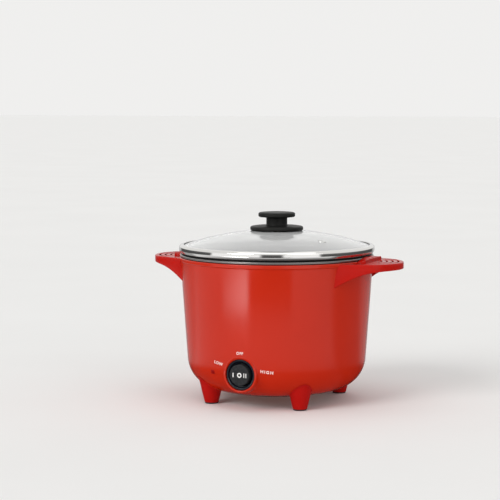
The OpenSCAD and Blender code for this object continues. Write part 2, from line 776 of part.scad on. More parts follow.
module power_inlet() {
    color([0.1, 0.1, 0.1]) at_inlet() difference() {
        union() {
            translate([0, 0, fit]) linear_extrude(height = flange_t)
                polygon(rounded(pad_w - 6, pad_h - 4, pad_corner));
            translate([0, 0, -inlet_l]) linear_extrude(height = inlet_l + over)
                polygon(rounded(inlet_w, inlet_h, inlet_corner));
        }
        translate([0, 0, -socket_floor]) linear_extrude(height = socket_floor + flange_t + over)
            polygon(rounded(socket_w, socket_h, inlet_corner));
        for (x = [-inlet_hole_x, inlet_hole_x]) translate([x, 0, -over])
            cylinder(r = inlet_screw_r + fit, h = flange_t + 2 * over);
        for (p = pin_places) translate([p[0], p[1], -inlet_l - over])
            linear_extrude(height = inlet_l - socket_floor + 2 * over)
                square([tab_t + 2 * bore_fit, tab_w + 2 * bore_fit], center = true);
    }
}
module inlet_pins() {
    color("silver") at_inlet() for (p = pin_places) translate([p[0], p[1], 0]) {
        translate([0, 0, -socket_floor + fit]) linear_extrude(height = socket_floor)
            square([pin_t, pin_w], center = true);
        translate([0, 0, -inlet_tab_end]) linear_extrude(height = inlet_tab_end - socket_floor + over)
            square([tab_t, tab_w], center = true);
    }
}
module inlet_screws() {
    color("silver") at_inlet() for (x = [-inlet_hole_x, inlet_hole_x]) translate([x, 0, flange_t]) {
        translate([0, 0, 2 * fit]) cylinder(r = inlet_head_r, h = inlet_head_t);
        translate([0, 0, -inlet_screw_l]) cylinder(r = inlet_screw_r, h = inlet_screw_l + inlet_head_t / 2);
    }
}
module earth_screw() {
    tail = 2 * earth_nut_h;
    color("goldenrod") translate([earth_x, earth_y, 0]) {
        translate([0, 0, shield_top + fit]) cylinder(r = head_r, h = head_t);
        translate([0, 0, shield_z - tail]) cylinder(r = screw_r, h = tail + shield_t + head_t / 2);
        translate([0, 0, shield_z - earth_nut_h]) cylinder(r = head_r + 0.3, h = earth_nut_h - fit, $fn = 6);
    }
}

module switch_body() {
    color([0.09, 0.09, 0.1]) at_switch() difference() {
        rotate_extrude() polygon([
            [0, -barrel_floor], [bezel_hole_r + 0.3, -barrel_floor], [bezel_hole_r + 0.3, -seat_depth - 1],
            [bezel_hole_r, -seat_depth - 1], [bezel_hole_r, -bezel_in - 0.8], [bezel_hole_r + 0.9, -bezel_in],
            [bezel_r - 0.6, -bezel_in], [bezel_r, -bezel_in - 0.6], [bezel_r, -seat_depth],
            [barrel_r, -seat_depth], [barrel_r, -barrel_l], [0, -barrel_l]]);
        translate([0, 0, -pivot_in]) rotate([90, 0, 0])
            cylinder(r = rocker_pin_r + bore_fit, h = 2 * (barrel_r + over), center = true);
        for (i = [-1:1]) translate([i * tab_gap, 0, -barrel_l - over])
            linear_extrude(height = barrel_l - barrel_floor + 2 * over)
                square([tab_t + 2 * bore_fit, tab_w + 2 * bore_fit], center = true);
    }
}
module switch_nut() {
    color([0.2, 0.2, 0.2]) at_switch() translate([0, 0, -seat_l - nut_h])
        ring(seat_r + 0.6, barrel_r + fit, nut_h);
}
module switch_pin() {
    color("silver") at_switch() translate([0, 0, -pivot_in]) rotate([90, 0, 0])
        cylinder(r = rocker_pin_r, h = 2 * barrel_r - 1, center = true);
}
module switch_terminals() {
    color("goldenrod") at_switch() for (i = [-1:1]) translate([i * tab_gap, 0, -tab_end])
        linear_extrude(height = tab_end - barrel_floor + tab_in) square([tab_t, tab_w], center = true);
}
module switch_rocker() {
    color([0.16, 0.16, 0.17]) at_switch() difference() {
        rotate_extrude() polygon([
            [0, -rocker_back], [rocker_r - 2, -rocker_back], [rocker_r, -rocker_back + 3],
            [rocker_r, rocker_front - 0.9], [rocker_r - 0.9, rocker_front], [0, rocker_front]]);
        translate([0, 0, -pivot_in]) rotate([90, 0, 0])
            cylinder(r = rocker_pin_r + pin_fit, h = 2 * (rocker_r + over), center = true);
    }
}

module pilot_lens() {
    color([0.45, 0.02, 0.02]) at_pilot() difference() {
        union() {
            translate([-lens_w / 2, -lens_h / 2, body_round - 2.2]) cube([lens_w, lens_h, 2.6]);
            translate([-lens_w / 2 - 1.5, -lens_h / 2 - 1.5, body_round - shell_t - 1.5])
                cube([lens_w + 3, lens_h + 3, 1.2]);
            translate([0, 0, body_round - 13]) cylinder(r = 3.6, h = 10.5);
        }
        translate([0, 0, body_round - 14]) cylinder(r = 2.7, h = 11);
    }
}
module pilot_lamp() {
    color([0.95, 0.7, 0.5]) at_pilot() translate([0, 0, body_round - 12]) cylinder(r = 2.6, h = 8.9);
}

// Leads: each route starts and ends straight, square to the terminal that it meets
module lead(route) {
    color([0.85, 0.85, 0.82]) tube(curve(route, 4), lead_r, 8, [0.31, 0.2, 0.93]);
}
module live_wire() {
    lead([[pin_x, inlet_y, inlet_z - pin_z], [pin_x, inlet_y - 3, inlet_z - pin_z],
        [12, inlet_y - 10, shield_z - 7], [14, 58, low_z + 4], [18, 30, low_z], [22, 0, low_z],
        [20, -36, low_z], [6, tab_y + 14, shield_z - 12], [0, tab_y + 3, switch_z], [0, tab_y, switch_z]]);
}
module neutral_wire() {
    lead([[-pin_x, inlet_y, inlet_z - pin_z], [-pin_x, inlet_y - 3, inlet_z - pin_z],
        [-11, inlet_y - 10, shield_z - 7], [-12, 58, low_z + 4], [-11, 36, lead_z + 1], [-10, 20, lead_z],
        [block_front + 5, block_pitch, lead_z], [block_front + 2 * fit, block_pitch, lead_z]]);
}
module earth_wire() {
    end_z = shield_z - 2 * earth_nut_h - 2 * fit;
    lead([[0, inlet_y, inlet_z + pin_z], [0, inlet_y - 3, inlet_z + pin_z], [-8, inlet_y - 6, shield_z + 6],
        [earth_x + 1, earth_y + 15, shield_z - 1], [earth_x - 4, earth_y + 8, shield_z - 10],
        [earth_x - 1, earth_y + 1, end_z - 7], [earth_x, earth_y, end_z - 3], [earth_x, earth_y, end_z]]);
}
module switch_wire() {
    lead([[-tab_gap, tab_y, switch_z], [-tab_gap, tab_y + 3, switch_z], [-10, tab_y + 14, shield_z - 12],
        [-16, -40, low_z], [-13, -20, lead_z], [block_front + 5, -block_pitch, lead_z],
        [block_front + 2 * fit, -block_pitch, lead_z]]);
}
module element_wires() {
    x = element_ring_r * cos(element_gap_deg);
    y = element_ring_r * sin(element_gap_deg);
    top_z = terminal_z - 2 * fit;
    lead([[x, y, top_z], [x, y, top_z - 3], [x - 6, y + 8, low_z - 3], [20, 26, lead_z - 1], [-4, 8, lead_z],
        [block_front + 6, 0, lead_z], [block_front + 2 * fit, 0, lead_z]]);
    lead([[x, -y, top_z], [x, -y, top_z - 3], [x - 8, -y - 8, low_z - 3], [30, -40, lead_z - 1],
        [12, tab_y + 16, shield_z - 14], [tab_gap, tab_y + 3, switch_z], [tab_gap, tab_y, switch_z]]);
}

module inner_pot() {
    color([0.17, 0.17, 0.18]) rotate_extrude() polygon(concat(
        [[0, pot_z]],
        arc(pot_round_r, pot_z + pot_round, pot_round, -90, -pot_draft, 10),
        [[pot_r, ring_top]],
        arc(flange_r - bead_r, ring_top + bead_r, bead_r, -90, 90, 8),
        [[mouth_r + 0.9, flange_top], [mouth_r, flange_top - 0.9]],
        arc(pot_round_r, pot_z + pot_round, pot_round - pot_t, -pot_draft, -90, 10),
        [[0, pot_z + pot_t]]));
}

module lid_glass() {
    steps = 16;
    color([0.8, 0.86, 0.86, 0.4]) difference() {
        rotate_extrude() polygon(concat(
            [for (i = [0:steps]) let (r = glass_hole_r + (glass_r - glass_hole_r) * i / steps)
                [r, dome_under(r)]],
            [for (i = [steps:-1:0]) let (r = glass_hole_r + (glass_r - glass_hole_r) * i / steps)
                [r, dome_z(r)]]));
        at_vent() translate([0, 0, dome_r - 10]) cylinder(r = vent_r - 1.8, h = 20);
    }
}
// Height of the band's sloped top flange, measured on its underside
function band_under(r) = dome_z(flange_in_r) + 0.75 - (r - flange_in_r) * 0.16;
module lid_band() {
    shoulder = band_r - 0.6;
    top = band_under(band_r - 2.6) + band_t;
    color([0.82, 0.82, 0.8]) rotate_extrude() polygon([
        [skirt_r - band_t, skirt_z], [skirt_r, skirt_z], [skirt_r, flange_top + rest_gap],
        [seat_out_r, flange_top + rest_gap], [seat_out_r, band_low], [band_r - 1.7, band_low],
        [band_r - 1, band_low + 0.6], [band_r, band_low + 5.6], [band_r - 0.1, top - 1.6],
        [shoulder, top - 0.7],
        [band_r - 1.5, top - 0.15], [band_r - 2.6, top], [flange_in_r, band_under(flange_in_r) + band_t],
        [flange_in_r, band_under(flange_in_r)], [band_r - 2.7, band_under(band_r - 2.7)],
        [band_r - 1.4, top - 1.5], [band_r - 0.9, top - 2.2], [band_r - 0.8, band_low + 5.6],
        [band_r - 1.8, shelf_top], [skirt_r - band_t, shelf_top]]);
}
module lid_seal() {
    gap = 0.03;
    inner = flange_in_r - 0.5;
    color([0.1, 0.1, 0.1]) rotate_extrude() polygon([
        [inner, shelf_top + gap], [band_r - 2.1, shelf_top + gap], [band_r - 1.3, band_low + 5],
        [band_r - 2.1, band_under(glass_r + 1) - gap - 0.7], [band_r - 2.7, band_under(band_r - 2.7) - gap],
        [flange_in_r, band_under(flange_in_r) - gap], [inner, band_under(flange_in_r) + 0.1],
        [inner, dome_z(inner) + gap], [glass_r + gap, dome_z(glass_r) + gap],
        [glass_r + gap, dome_under(glass_r) - gap], [inner, dome_under(inner) - gap]]);
}
module vent_grommet() {
    low = dome_r - glass_t;
    color("silver") at_vent() rotate_extrude() polygon([
        [1.6, low - 0.9], [vent_r - 0.4, low - 0.9], [vent_r - 0.4, low - fit], [vent_r - 1.9, low - fit],
        [vent_r - 1.9, dome_r + fit], [vent_r, dome_r + fit], [vent_r - 0.3, dome_r + 0.9],
        [2.2, dome_r + 1.2], [1.6, dome_r + 0.8]]);
}

module knob_base() {
    color([0.08, 0.08, 0.08]) rotate_extrude() polygon([
        [knob_screw_r + fit, hub_z], [hub_r, hub_z], [hub_r + 2, dome_z(hub_r + 2) + 0.9],
        [knob_base_r - 2, dome_z(knob_base_r - 2) + 0.35], [knob_base_r - 0.8, dome_z(knob_base_r) + 0.4],
        [knob_base_r, dome_z(knob_base_r) + 1.4], [knob_base_r, base_top - 2.2],
        [knob_base_r - 0.9, base_top - 1.1], [knob_base_r - 4, base_top - 0.5],
        [knob_neck_r + 1, base_top], [knob_screw_r + fit, base_top]]);
}
module knob_top() {
    color([0.1, 0.1, 0.1]) difference() {
        rotate_extrude() polygon([
            [0, base_top], [knob_neck_r + 0.8, base_top], [knob_neck_r, base_top + 1.2],
            [knob_neck_r, disc_z - 0.8], [knob_neck_r + 1.2, disc_z], [knob_top_r - 1.2, disc_z + 0.2],
            [knob_top_r, disc_z + 1.3], [knob_top_r, knob_top - 1.4], [knob_top_r - 1.2, knob_top - 0.3],
            [knob_top_r - 3, knob_top], [0, knob_top]]);
        translate([0, 0, base_top - 1]) cylinder(r = knob_screw_r + bore_fit, h = disc_z - base_top);
    }
}
module knob_seal() {
    steps = 6;
    sleeve_r = glass_hole_r - 0.1;
    seal_r = hub_r - 1;
    color([0.15, 0.15, 0.15]) rotate_extrude() polygon(concat(
        [[knob_screw_r + fit, hub_z - fit], [knob_screw_r + fit, dome_top - glass_t],
            [sleeve_r, dome_top - glass_t], [sleeve_r, dome_top + fit]],
        [for (i = [0:steps]) let (r = sleeve_r + (seal_r - sleeve_r) * i / steps) [r, dome_z(r) + fit]],
        [[seal_r, hub_z - fit]]));
}
module knob_washer() {
    color("silver") rotate_extrude() polygon([
        [knob_screw_r + fit, washer_z], [washer_r - 1.5, washer_z], [washer_r, washer_z + 0.9],
        [washer_r - 0.5, washer_z + 1.6], [washer_r - 2, washer_z + washer_t],
        [knob_screw_r + fit, washer_z + washer_t]]);
}
module washer_seal() {
    steps = 6;
    inner = knob_screw_r + fit;
    outer = washer_r - 3;
    color([0.75, 0.75, 0.74]) rotate_extrude() polygon(concat(
        [[inner, washer_z + washer_t + fit], [outer, washer_z + washer_t + fit]],
        [for (i = [steps:-1:0]) let (r = inner + (outer - inner) * i / steps)
            [r, dome_under(max(r, glass_hole_r)) - fit]]));
}
module knob_screw() {
    color("silver") {
        translate([0, 0, washer_z - 2.5 - fit]) cylinder(r = 4.8, h = 2.5);
        translate([0, 0, washer_z - 1]) cylinder(r = knob_screw_r, h = disc_z - 1.6 - washer_z);
    }
}

outer_shell();
rim_ring();
handle_left();
handle_right();
handle_screws();
foot(foot_az[0]);  // foot_front_left
foot(foot_az[1]);  // foot_front_right
foot(foot_az[2]);  // foot_rear_left
foot(foot_az[3]);  // foot_rear_right
pad(foot_az[0]);  // pad_front_left
pad(foot_az[1]);  // pad_front_right
pad(foot_az[2]);  // pad_rear_left
pad(foot_az[3]);  // pad_rear_right
foot_screws();
base_cover();
base_screws();
plate_posts();
heat_shield();
heating_plate();
heating_element();
element_terminals();
thermostat_can();
thermostat_spring();
sensor_cup();
stem_clip();
thermal_fuse();
fuse_clip();
terminal_block();
block_screws();
power_inlet();
inlet_pins();
inlet_screws();
earth_screw();
switch_body();
switch_nut();
switch_pin();
switch_terminals();
switch_rocker();
pilot_lens();
pilot_lamp();
live_wire();
neutral_wire();
earth_wire();
switch_wire();
element_wires();
inner_pot();
lid_glass();
lid_band();
lid_seal();
vent_grommet();
knob_base();
knob_top();
knob_seal();
knob_washer();
washer_seal();
knob_screw();
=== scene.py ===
from math import acos, asin, atan, atan2, cos, degrees, hypot, pi, radians, sin, sqrt, tan
import bpy
import bmesh
from mathutils import Matrix, Vector


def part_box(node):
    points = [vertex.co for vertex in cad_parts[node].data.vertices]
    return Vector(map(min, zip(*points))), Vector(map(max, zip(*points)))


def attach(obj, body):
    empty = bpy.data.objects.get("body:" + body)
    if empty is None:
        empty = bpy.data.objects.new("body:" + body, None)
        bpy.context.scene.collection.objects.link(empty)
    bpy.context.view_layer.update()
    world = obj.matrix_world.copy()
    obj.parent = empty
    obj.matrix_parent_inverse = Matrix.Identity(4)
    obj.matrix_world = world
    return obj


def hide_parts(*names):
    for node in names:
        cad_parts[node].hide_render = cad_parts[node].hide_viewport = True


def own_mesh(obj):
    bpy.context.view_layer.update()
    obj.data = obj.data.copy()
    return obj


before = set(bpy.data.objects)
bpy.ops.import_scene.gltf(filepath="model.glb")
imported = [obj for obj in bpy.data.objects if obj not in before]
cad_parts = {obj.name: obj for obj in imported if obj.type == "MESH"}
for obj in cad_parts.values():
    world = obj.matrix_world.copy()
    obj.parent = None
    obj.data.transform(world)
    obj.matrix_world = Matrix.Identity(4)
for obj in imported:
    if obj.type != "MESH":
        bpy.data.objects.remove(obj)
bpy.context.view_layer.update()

scene = bpy.context.scene
MM = 0.001


def new_object(name, data):
    made = bpy.data.objects.new(name, data)
    scene.collection.objects.link(made)
    return made


def clamp(value):
    return max(0.0, min(1.0, value))


def heading(around, height=0.0):
    """A direction at an angle about the Z axis from the front and at a height, both in radians."""
    return sin(around) * cos(height), -cos(around) * cos(height), sin(height)


# Camera, at the photograph's viewing angle

AZIMUTH, ELEVATION, DISTANCE = radians(23.0), radians(6.94), 2.122
back = Vector(heading(AZIMUTH, ELEVATION))
right = Vector((cos(AZIMUTH), sin(AZIMUTH), 0.0))
centre = Vector((0.0, 0.0, 0.12))
aim = centre - 0.0341 * right + 0.0693 * back.cross(right)
camera = new_object("camera", bpy.data.cameras.new("camera"))
camera.data.sensor_width = 36.0
camera.data.lens = 119.8
camera.data.clip_start = 0.05
camera.data.clip_end = 60.0
camera.location = centre + DISTANCE * back
camera.rotation_mode = "QUATERNION"
camera.rotation_quaternion = (camera.location - aim).to_track_quat("Z", "Y")
scene.camera = camera


# Main sizes in millimetres: the first ones read from the imported solids, the rest given

def top_of(node):
    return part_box(node)[1].z / MM


def reach_of(node):
    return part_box(node)[1].x / MM


COLLAR_R, BODY_TOP = reach_of("outer_shell"), top_of("outer_shell")
RING_TOP, POT_TOP, KNOB_TOP = top_of("rim_ring"), top_of("inner_pot"), top_of("knob_top")
TIP_X, GRIP_Z = reach_of("handle_right"), 180.0
# Body: radius and height below the collar, slant of its side, underside, wall and round lower edge
BODY_R, COLLAR_Z, DRAFT, LOW, WALL = 122.1, 176.4, radians(4.05), 15.0, 1.5
ROUND, ROUND_R, ROUND_Z = 41.0, 72.47, 56.0
# Height of the switch and of the inlet, and how far out their faces are
SWITCH_Z, FACE = 46.0, 114.62
# How far a handle or a foot reaches into the body's wall
SINK = 0.7


# Mesh helpers: points are in millimetres until a piece is made

class Skin:
    """Points and faces of a piece, with a mark on each face for its material."""

    def __init__(self):
        self.points, self.faces, self.marks = [], [], []

    def add(self, x, y, z):
        self.points.append((x, y, z))
        return len(self.points) - 1

    def ring(self, points):
        return [self.add(*p) for p in points]

    def quad(self, a, b, c, d, mark=0):
        face = list(dict.fromkeys((a, b, c, d)))
        if len(face) > 2:
            self.faces.append(face)
            self.marks.append(mark)

    def band(self, a, b, mark=0):
        for i in range(len(a)):
            j = (i + 1) % len(a)
            self.quad(a[i], a[j], b[j], b[i], mark)

    def bands(self, rings):
        for a, b in zip(rings, rings[1:]):
            self.band(a, b)

    def fan(self, ring, middle):
        self.band(ring, [self.add(*middle)] * len(ring))

    def move(self, change):
        """Put each point where a function of x, y and z says."""
        self.points = [change(*p) for p in self.points]


def mesh_object(name, bm, materials):
    mesh = bpy.data.meshes.new(name)
    bm.to_mesh(mesh)
    bm.free()
    for material in materials:
        mesh.materials.append(material)
    return new_object(name, mesh)


def make(name, skins, materials, body, replaces=(), sharp=38.0, place=None):
    """A piece from one or more skins, which rides on its body and stands for what it replaces."""
    bm = bmesh.new()
    for skin in skins if isinstance(skins, list) else [skins]:
        verts = [bm.verts.new(Vector(p) * MM) for p in skin.points]
        for face, mark in zip(skin.faces, skin.marks):
            try:
                bm.faces.new([verts[i] for i in face]).material_index = mark
            except ValueError:
                pass
    bmesh.ops.remove_doubles(bm, verts=bm.verts, dist=1e-6)
    bmesh.ops.dissolve_degenerate(bm, edges=bm.edges, dist=1e-7)
    bmesh.ops.delete(bm, geom=[v for v in bm.verts if not v.link_faces], context="VERTS")
    bmesh.ops.recalc_face_normals(bm, faces=bm.faces)
    for face in bm.faces:
        face.smooth = True
    for edge in bm.edges:
        edge.smooth = len(edge.link_faces) != 2 or edge.calc_face_angle(0.0) < radians(sharp)
    if place is not None:
        bmesh.ops.transform(bm, matrix=place, verts=bm.verts)
    piece = mesh_object(name, bm, materials)
    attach(piece, body)
    if replaces:
        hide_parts(*replaces)
    return piece


def shift(x, y, z):
    return Matrix.Translation(Vector((x, y, z)) * MM)


def turn(angle, axis):
    return Matrix.Rotation(radians(angle), 4, axis)


def fillet(points, steps, closed=False):
    """Round the corners of a flat line: each point is (x, y) or (x, y, radius)."""
    points = [tuple(p) + (0.0,) * (3 - len(p)) for p in points]
    count, out = len(points), []
    for i, (x, y, radius) in enumerate(points):
        if radius <= 0 or (not closed and i in (0, count - 1)):
            out.append((x, y))
            continue
        here = Vector((x, y))
        before, after = points[i - 1], points[(i + 1) % count]
        a, b = Vector(before[:2]) - here, Vector(after[:2]) - here
        room = min(side.length * (0.49 if end[2] > 0 else 0.98) for side, end in ((a, before), (b, after)))
        a.normalize()
        b.normalize()
        bend = pi - a.angle(b)
        if bend < 1e-3:
            out.extend([(x, y)] * (steps + 1))
            continue
        length = min(radius * tan(bend / 2), room)
        size = length / tan(bend / 2)
        middle = here + (a + b).normalized() * (size / cos(bend / 2))
        first, last = here + a * length - middle, here + b * length - middle
        for k in range(steps + 1):
            t = k / steps
            p = middle + (first * sin((1 - t) * bend) + last * sin(t * bend)) / sin(bend)
            out.append((p.x, p.y))
    return out


def arc_points(x, y, r, start, end, steps):
    angles = [radians(start + (end - start) * i / steps) for i in range(steps + 1)]
    return [(x + r * cos(a), y + r * sin(a)) for a in angles]


def circle(r, z, sides, x=0.0, y=0.0):
    angles = [2 * pi * i / sides for i in range(sides)]
    return [(x + r * cos(a), y + r * sin(a), z) for a in angles]


def lathe(profile, sides, marks=None):
    """Turn (r, z) points about the Z axis. A profile that doesn't start on the axis is closed.
    The function marks gives the mark of the band between two of its points."""
    skin = Skin()
    rings = []
    for r, z in profile:
        rings.append(skin.ring(circle(r, z, sides)) if r > 1e-4 else [skin.add(0.0, 0.0, z)] * sides)
    for i in range(len(rings) - (0 if profile[0][0] > 0 else 1)):
        j = (i + 1) % len(rings)
        skin.band(rings[i], rings[j], marks(profile[i], profile[j]) if marks else 0)
    return skin


def turned(points, steps, sides, marks=None):
    """A turned piece from the corners of its profile, each with the radius that rounds it."""
    return lathe(fillet(points, steps, points[0][0] > 0), sides, marks)


def outline(w, h, corner, count):
    """Evenly spaced points of a rounded rectangle with their outward directions, from the lower left."""
    half_w, half_h = w / 2 - corner, h / 2 - corner
    arc = pi * corner / 2
    total = 4 * (half_w + half_h + arc)
    # Each side: direction, its length, and the middles of the corners where it starts and ends
    a, b, c, d = (-half_w, -half_h), (half_w, -half_h), (half_w, half_h), (-half_w, half_h)
    sides = [(1, 0, 2 * half_w, a, b), (0, 1, 2 * half_h, b, c),
             (-1, 0, 2 * half_w, c, d), (0, -1, 2 * half_h, d, a)]
    out = []
    for i in range(count):
        at = (total * i / count - arc / 2) % total
        for u, v, length, start, end in sides:
            if at <= length + arc:
                break
            at -= length + arc
        if at <= length:
            out.append((start[0] + v * corner + u * at, start[1] - u * corner + v * at, v, -u))
        else:
            angle = atan2(v, u) + (at - length) / corner - pi / 2
            x, y = cos(angle), sin(angle)
            out.append((end[0] + corner * x, end[1] + corner * y, x, y))
    return out


def rounded(w, h, corner, z, inset=0.0, count=32):
    """A level loop: a rounded rectangle, drawn in by an inset."""
    return [(x - inset * u, y - inset * v, z) for x, y, u, v in outline(w, h, corner, count)]


def loft(loops, tip=None):
    """A closed solid through loops of equal length. It ends in a tip, or in its last loop's middle."""
    skin = Skin()
    rings = [skin.ring(loop) for loop in loops]
    first, last = [[sum(p[k] for p in loop) / len(loop) for k in range(3)] for loop in (loops[0], loops[-1])]
    skin.bands(rings)
    skin.fan(rings[0], first)
    skin.fan(rings[-1], tip or last)
    return skin


# Materials

def new_material(name):
    material = bpy.data.materials.new(name)
    material.use_nodes = True
    return material, material.node_tree


def wire(start, out, end, into):
    start.id_data.links.new(start.outputs[out], end.inputs[into])


def fill(node, **inputs):
    """Give inputs values, or links from a list of a node and its output. An underscore stands for a space."""
    for name, value in inputs.items():
        if isinstance(value, list):
            wire(*value, node, name.replace("_", " "))
        else:
            node.inputs[name.replace("_", " ")].default_value = value
    return node


def add_node(tree, kind, **inputs):
    return fill(tree.nodes.new("ShaderNode" + kind), **inputs)


def remap(tree, start, low, high, first, last):
    node = add_node(tree, "MapRange", Value=start, From_Min=low, From_Max=high, To_Min=first, To_Max=last)
    return [node, "Result"]


def surface(name, colour, rough, spread, grain, bump=0.0, bump_grain=900, vary=0.05, specular=0.5,
            metallic=0.0, ring=False):
    """A finish with mottled colour and roughness and a fine bump, all from noise that may run in rings."""
    material, tree = new_material(name)
    source = [add_node(tree, "TexCoord"), "Object"]
    if ring:
        split = add_node(tree, "SeparateXYZ", Vector=source)
        flat = add_node(tree, "CombineXYZ", X=[split, "X"], Y=[split, "Y"])
        far = add_node(tree, "VectorMath", Vector=[flat, "Vector"])
        far.operation = "LENGTH"
        source = [add_node(tree, "CombineXYZ", X=[far, "Value"], Z=[split, "Z"]), "Vector"]
    mottle = [add_node(tree, "TexNoise", Scale=grain, Detail=4.0, Vector=source), "Fac"]
    paint = add_node(tree, "ValToRGB", Fac=mottle)
    for stop, position, share in zip(paint.color_ramp.elements, (0.3, 0.7), (1 - spread, 1 + spread)):
        stop.position = position
        stop.color = [clamp(c * share) for c in colour] + [1]
    smear = remap(tree, mottle, 0.3, 0.7, clamp(rough - vary), clamp(rough + vary))
    shader = fill(tree.nodes["Principled BSDF"], Base_Color=[paint, "Color"], Metallic=metallic,
                  Roughness=smear, Specular_IOR_Level=specular)
    if bump:
        fine = add_node(tree, "TexNoise", Scale=bump_grain, Detail=3.0, Vector=source)
        raised = add_node(tree, "Bump", Strength=bump, Distance=0.0003, Height=[fine, "Fac"])
        fill(shader, Normal=[raised, "Normal"])
    return material


def metal(*finish, **more):
    return surface(*finish, metallic=1.0, **more)


def clear(name, tint, rough, haze, grazing=0.0):
    """Clear glass with faint smears in its gloss and a little haze, which may grow where it's seen aslant."""
    material, tree = new_material(name)
    place = [add_node(tree, "TexCoord"), "Object"]
    smears = [add_node(tree, "TexNoise", Scale=14.0, Detail=5.0, Vector=place), "Fac"]
    gloss = remap(tree, smears, 0.35, 0.75, rough, rough + 0.015)
    paint = add_node(tree, "ValToRGB", Fac=smears)
    for stop, share in zip(paint.color_ramp.elements, (1.0, 0.97)):
        stop.color = [clamp(c * share) for c in tint] + [1]
    through = 1.0 - haze
    if grazing:
        lean = add_node(tree, "LayerWeight", Blend=0.5)
        through = remap(tree, [lean, "Facing"], 0.35, 0.85, through, 1.0 - grazing)
    fill(tree.nodes["Principled BSDF"], IOR=1.5, Base_Color=[paint, "Color"], Roughness=gloss,
         Transmission_Weight=through)
    return material


# Name, colour, roughness, spread of the colour, fineness of its grain, bump and fineness of the bump
red_shell = surface("red_enamel", (0.53, 0.019, 0.003), 0.16, 0.03, 9, 0.02, 160, vary=0.03, specular=0.32)
red_plastic = surface("red_handle", (0.475, 0.006, 0.002), 0.22, 0.03, 25, 0.04, 420, vary=0.04, specular=0.14)
red_foot = surface("red_foot", (0.45, 0.005, 0.003), 0.3, 0.04, 35, 0.04, 420, vary=0.04, specular=0.12)
# Painted shade: a dark red for the faces down in the handles' grooves, where shade falls
groove_shade = surface("red_groove_painted_shade", (0.09, 0.006, 0.005), 0.6, 0.1, 60, 0.05, specular=0.15)
lens_red = surface("dark_red_lens", (0.34, 0.003, 0.002), 0.25, 0.1, 400, specular=0.15)
# Black of the rim ring, also used as painted shade in the band's recess
rim_black = surface("rim_black", (0.007, 0.006, 0.006), 0.5, 0.15, 90, 0.08, specular=0.2)
base_black = surface("base_paint", (0.02, 0.02, 0.02), 0.5, 0.12, 60, 0.12, 1400)
inlet_black = surface("inlet_black", (0.014, 0.014, 0.015), 0.5, 0.15, 120, 0.15)
knob_black = surface("satin_black", (0.011, 0.011, 0.01), 0.46, 0.2, 90, 0.06, 1100, specular=0.15)
switch_black = surface("polished_black", (0.004, 0.005, 0.011), 0.14, 0.2, 60, 0.02, vary=0.03, specular=0.32)
rocker_grey = surface("textured_grey", (0.02, 0.021, 0.023), 0.6, 0.5, 520, 0.5, 1100, vary=0.08, specular=0.2)
mark_white = surface("print_white", (0.86, 0.86, 0.84), 0.5, 0.03, 200, 0.05)
label_white = surface("label_white", (0.98, 0.82, 0.78), 0.5, 0.03, 200, 0.05)
foot_rubber = surface("dark_rubber", (0.02, 0.016, 0.016), 0.75, 0.15, 120, 0.15)
black_rubber = surface("black_silicone", (0.016, 0.016, 0.016), 0.55, 0.15, 100, 0.1)
milky_rubber = surface("milky_silicone", (0.62, 0.62, 0.6), 0.45, 0.06, 90, 0.08)
ceramic = surface("ceramic", (0.78, 0.75, 0.67), 0.5, 0.05, 150, 0.1)
sleeve = surface("lead_sleeve", (0.6, 0.59, 0.55), 0.7, 0.12, 500, 0.6, 2500)
pot_coat = surface("pot_coating", (0.045, 0.045, 0.047), 0.36, 0.12, 300, 0.02, vary=0.04)
pot_metal = metal("pot_outside", (0.36, 0.345, 0.335), 0.3, 0.06, 400, 0.08, ring=True)
band_steel = metal("polished_steel", (0.78, 0.77, 0.75), 0.09, 0.03, 500, 0.02, 1500, vary=0.03, ring=True)
washer_steel = metal("brushed_steel", (0.7, 0.7, 0.69), 0.24, 0.06, 900, 0.1, ring=True)
aluminium = metal("turned_aluminium", (0.62, 0.62, 0.63), 0.3, 0.08, 700, 0.2, 1600, ring=True)
element = metal("heated_steel", (0.11, 0.1, 0.1), 0.5, 0.25, 45, 0.08)
plain_steel = metal("plain_steel", (0.45, 0.45, 0.46), 0.38, 0.08, 80, 0.05)
brass = metal("brass", (0.52, 0.36, 0.12), 0.32, 0.08, 200, 0.05)
zinc = metal("zinc_screw", (0.55, 0.55, 0.55), 0.32, 0.08, 300, 0.05)
lid_clear = clear("clear_glass", (0.99, 0.995, 0.99), 0.0, 0.08, 0.54)
lamp_clear = clear("lamp_glass", (0.95, 0.75, 0.6), 0.05, 0.1)


def dress(material, *names):
    """Give solids that are shown as they are a finish."""
    for name in names:
        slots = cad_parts[name].data.materials
        slots.clear()
        slots.append(material)


dress(zinc, "handle_screws", "foot_screws", "base_screws")
dress(base_black, "base_cover")
dress(plain_steel, "plate_posts", "thermostat_can", "stem_clip", "fuse_clip", "inlet_pins")
dress(aluminium, "heat_shield", "heating_plate", "sensor_cup")
dress(element, "heating_element", "switch_pin")
dress(brass, "element_terminals", "block_screws", "earth_screw", "switch_terminals")
dress(ceramic, "thermal_fuse", "terminal_block")
dress(inlet_black, "switch_nut")
dress(sleeve, "live_wire", "neutral_wire", "earth_wire", "switch_wire", "element_wires")
dress(lamp_clear, "pilot_lamp")
dress(black_rubber, "knob_seal")


# Outer shell: a turned wall with a blended seat for the switch, a pad for the inlet and a hole for the lens

COLUMNS, ARC_STEPS, WALL_STEPS = 240, 24, 22
INNER_TOP, UNDER_TOP, PILOT_AZ = 181.2, LOW + WALL, -111.3
SEAT_R, SEAT_DEPTH, SEAT_DRAFT = 21.9, 20.6, tan(radians(5.0))
# Patches cut from the wall: middle column, half width in columns, first and last row
SWITCH_PATCH, INLET_PATCH, PILOT_PATCH = (180, 11, 0, 29), (60, 11, 0, 29), (166, 2, 19, 23)


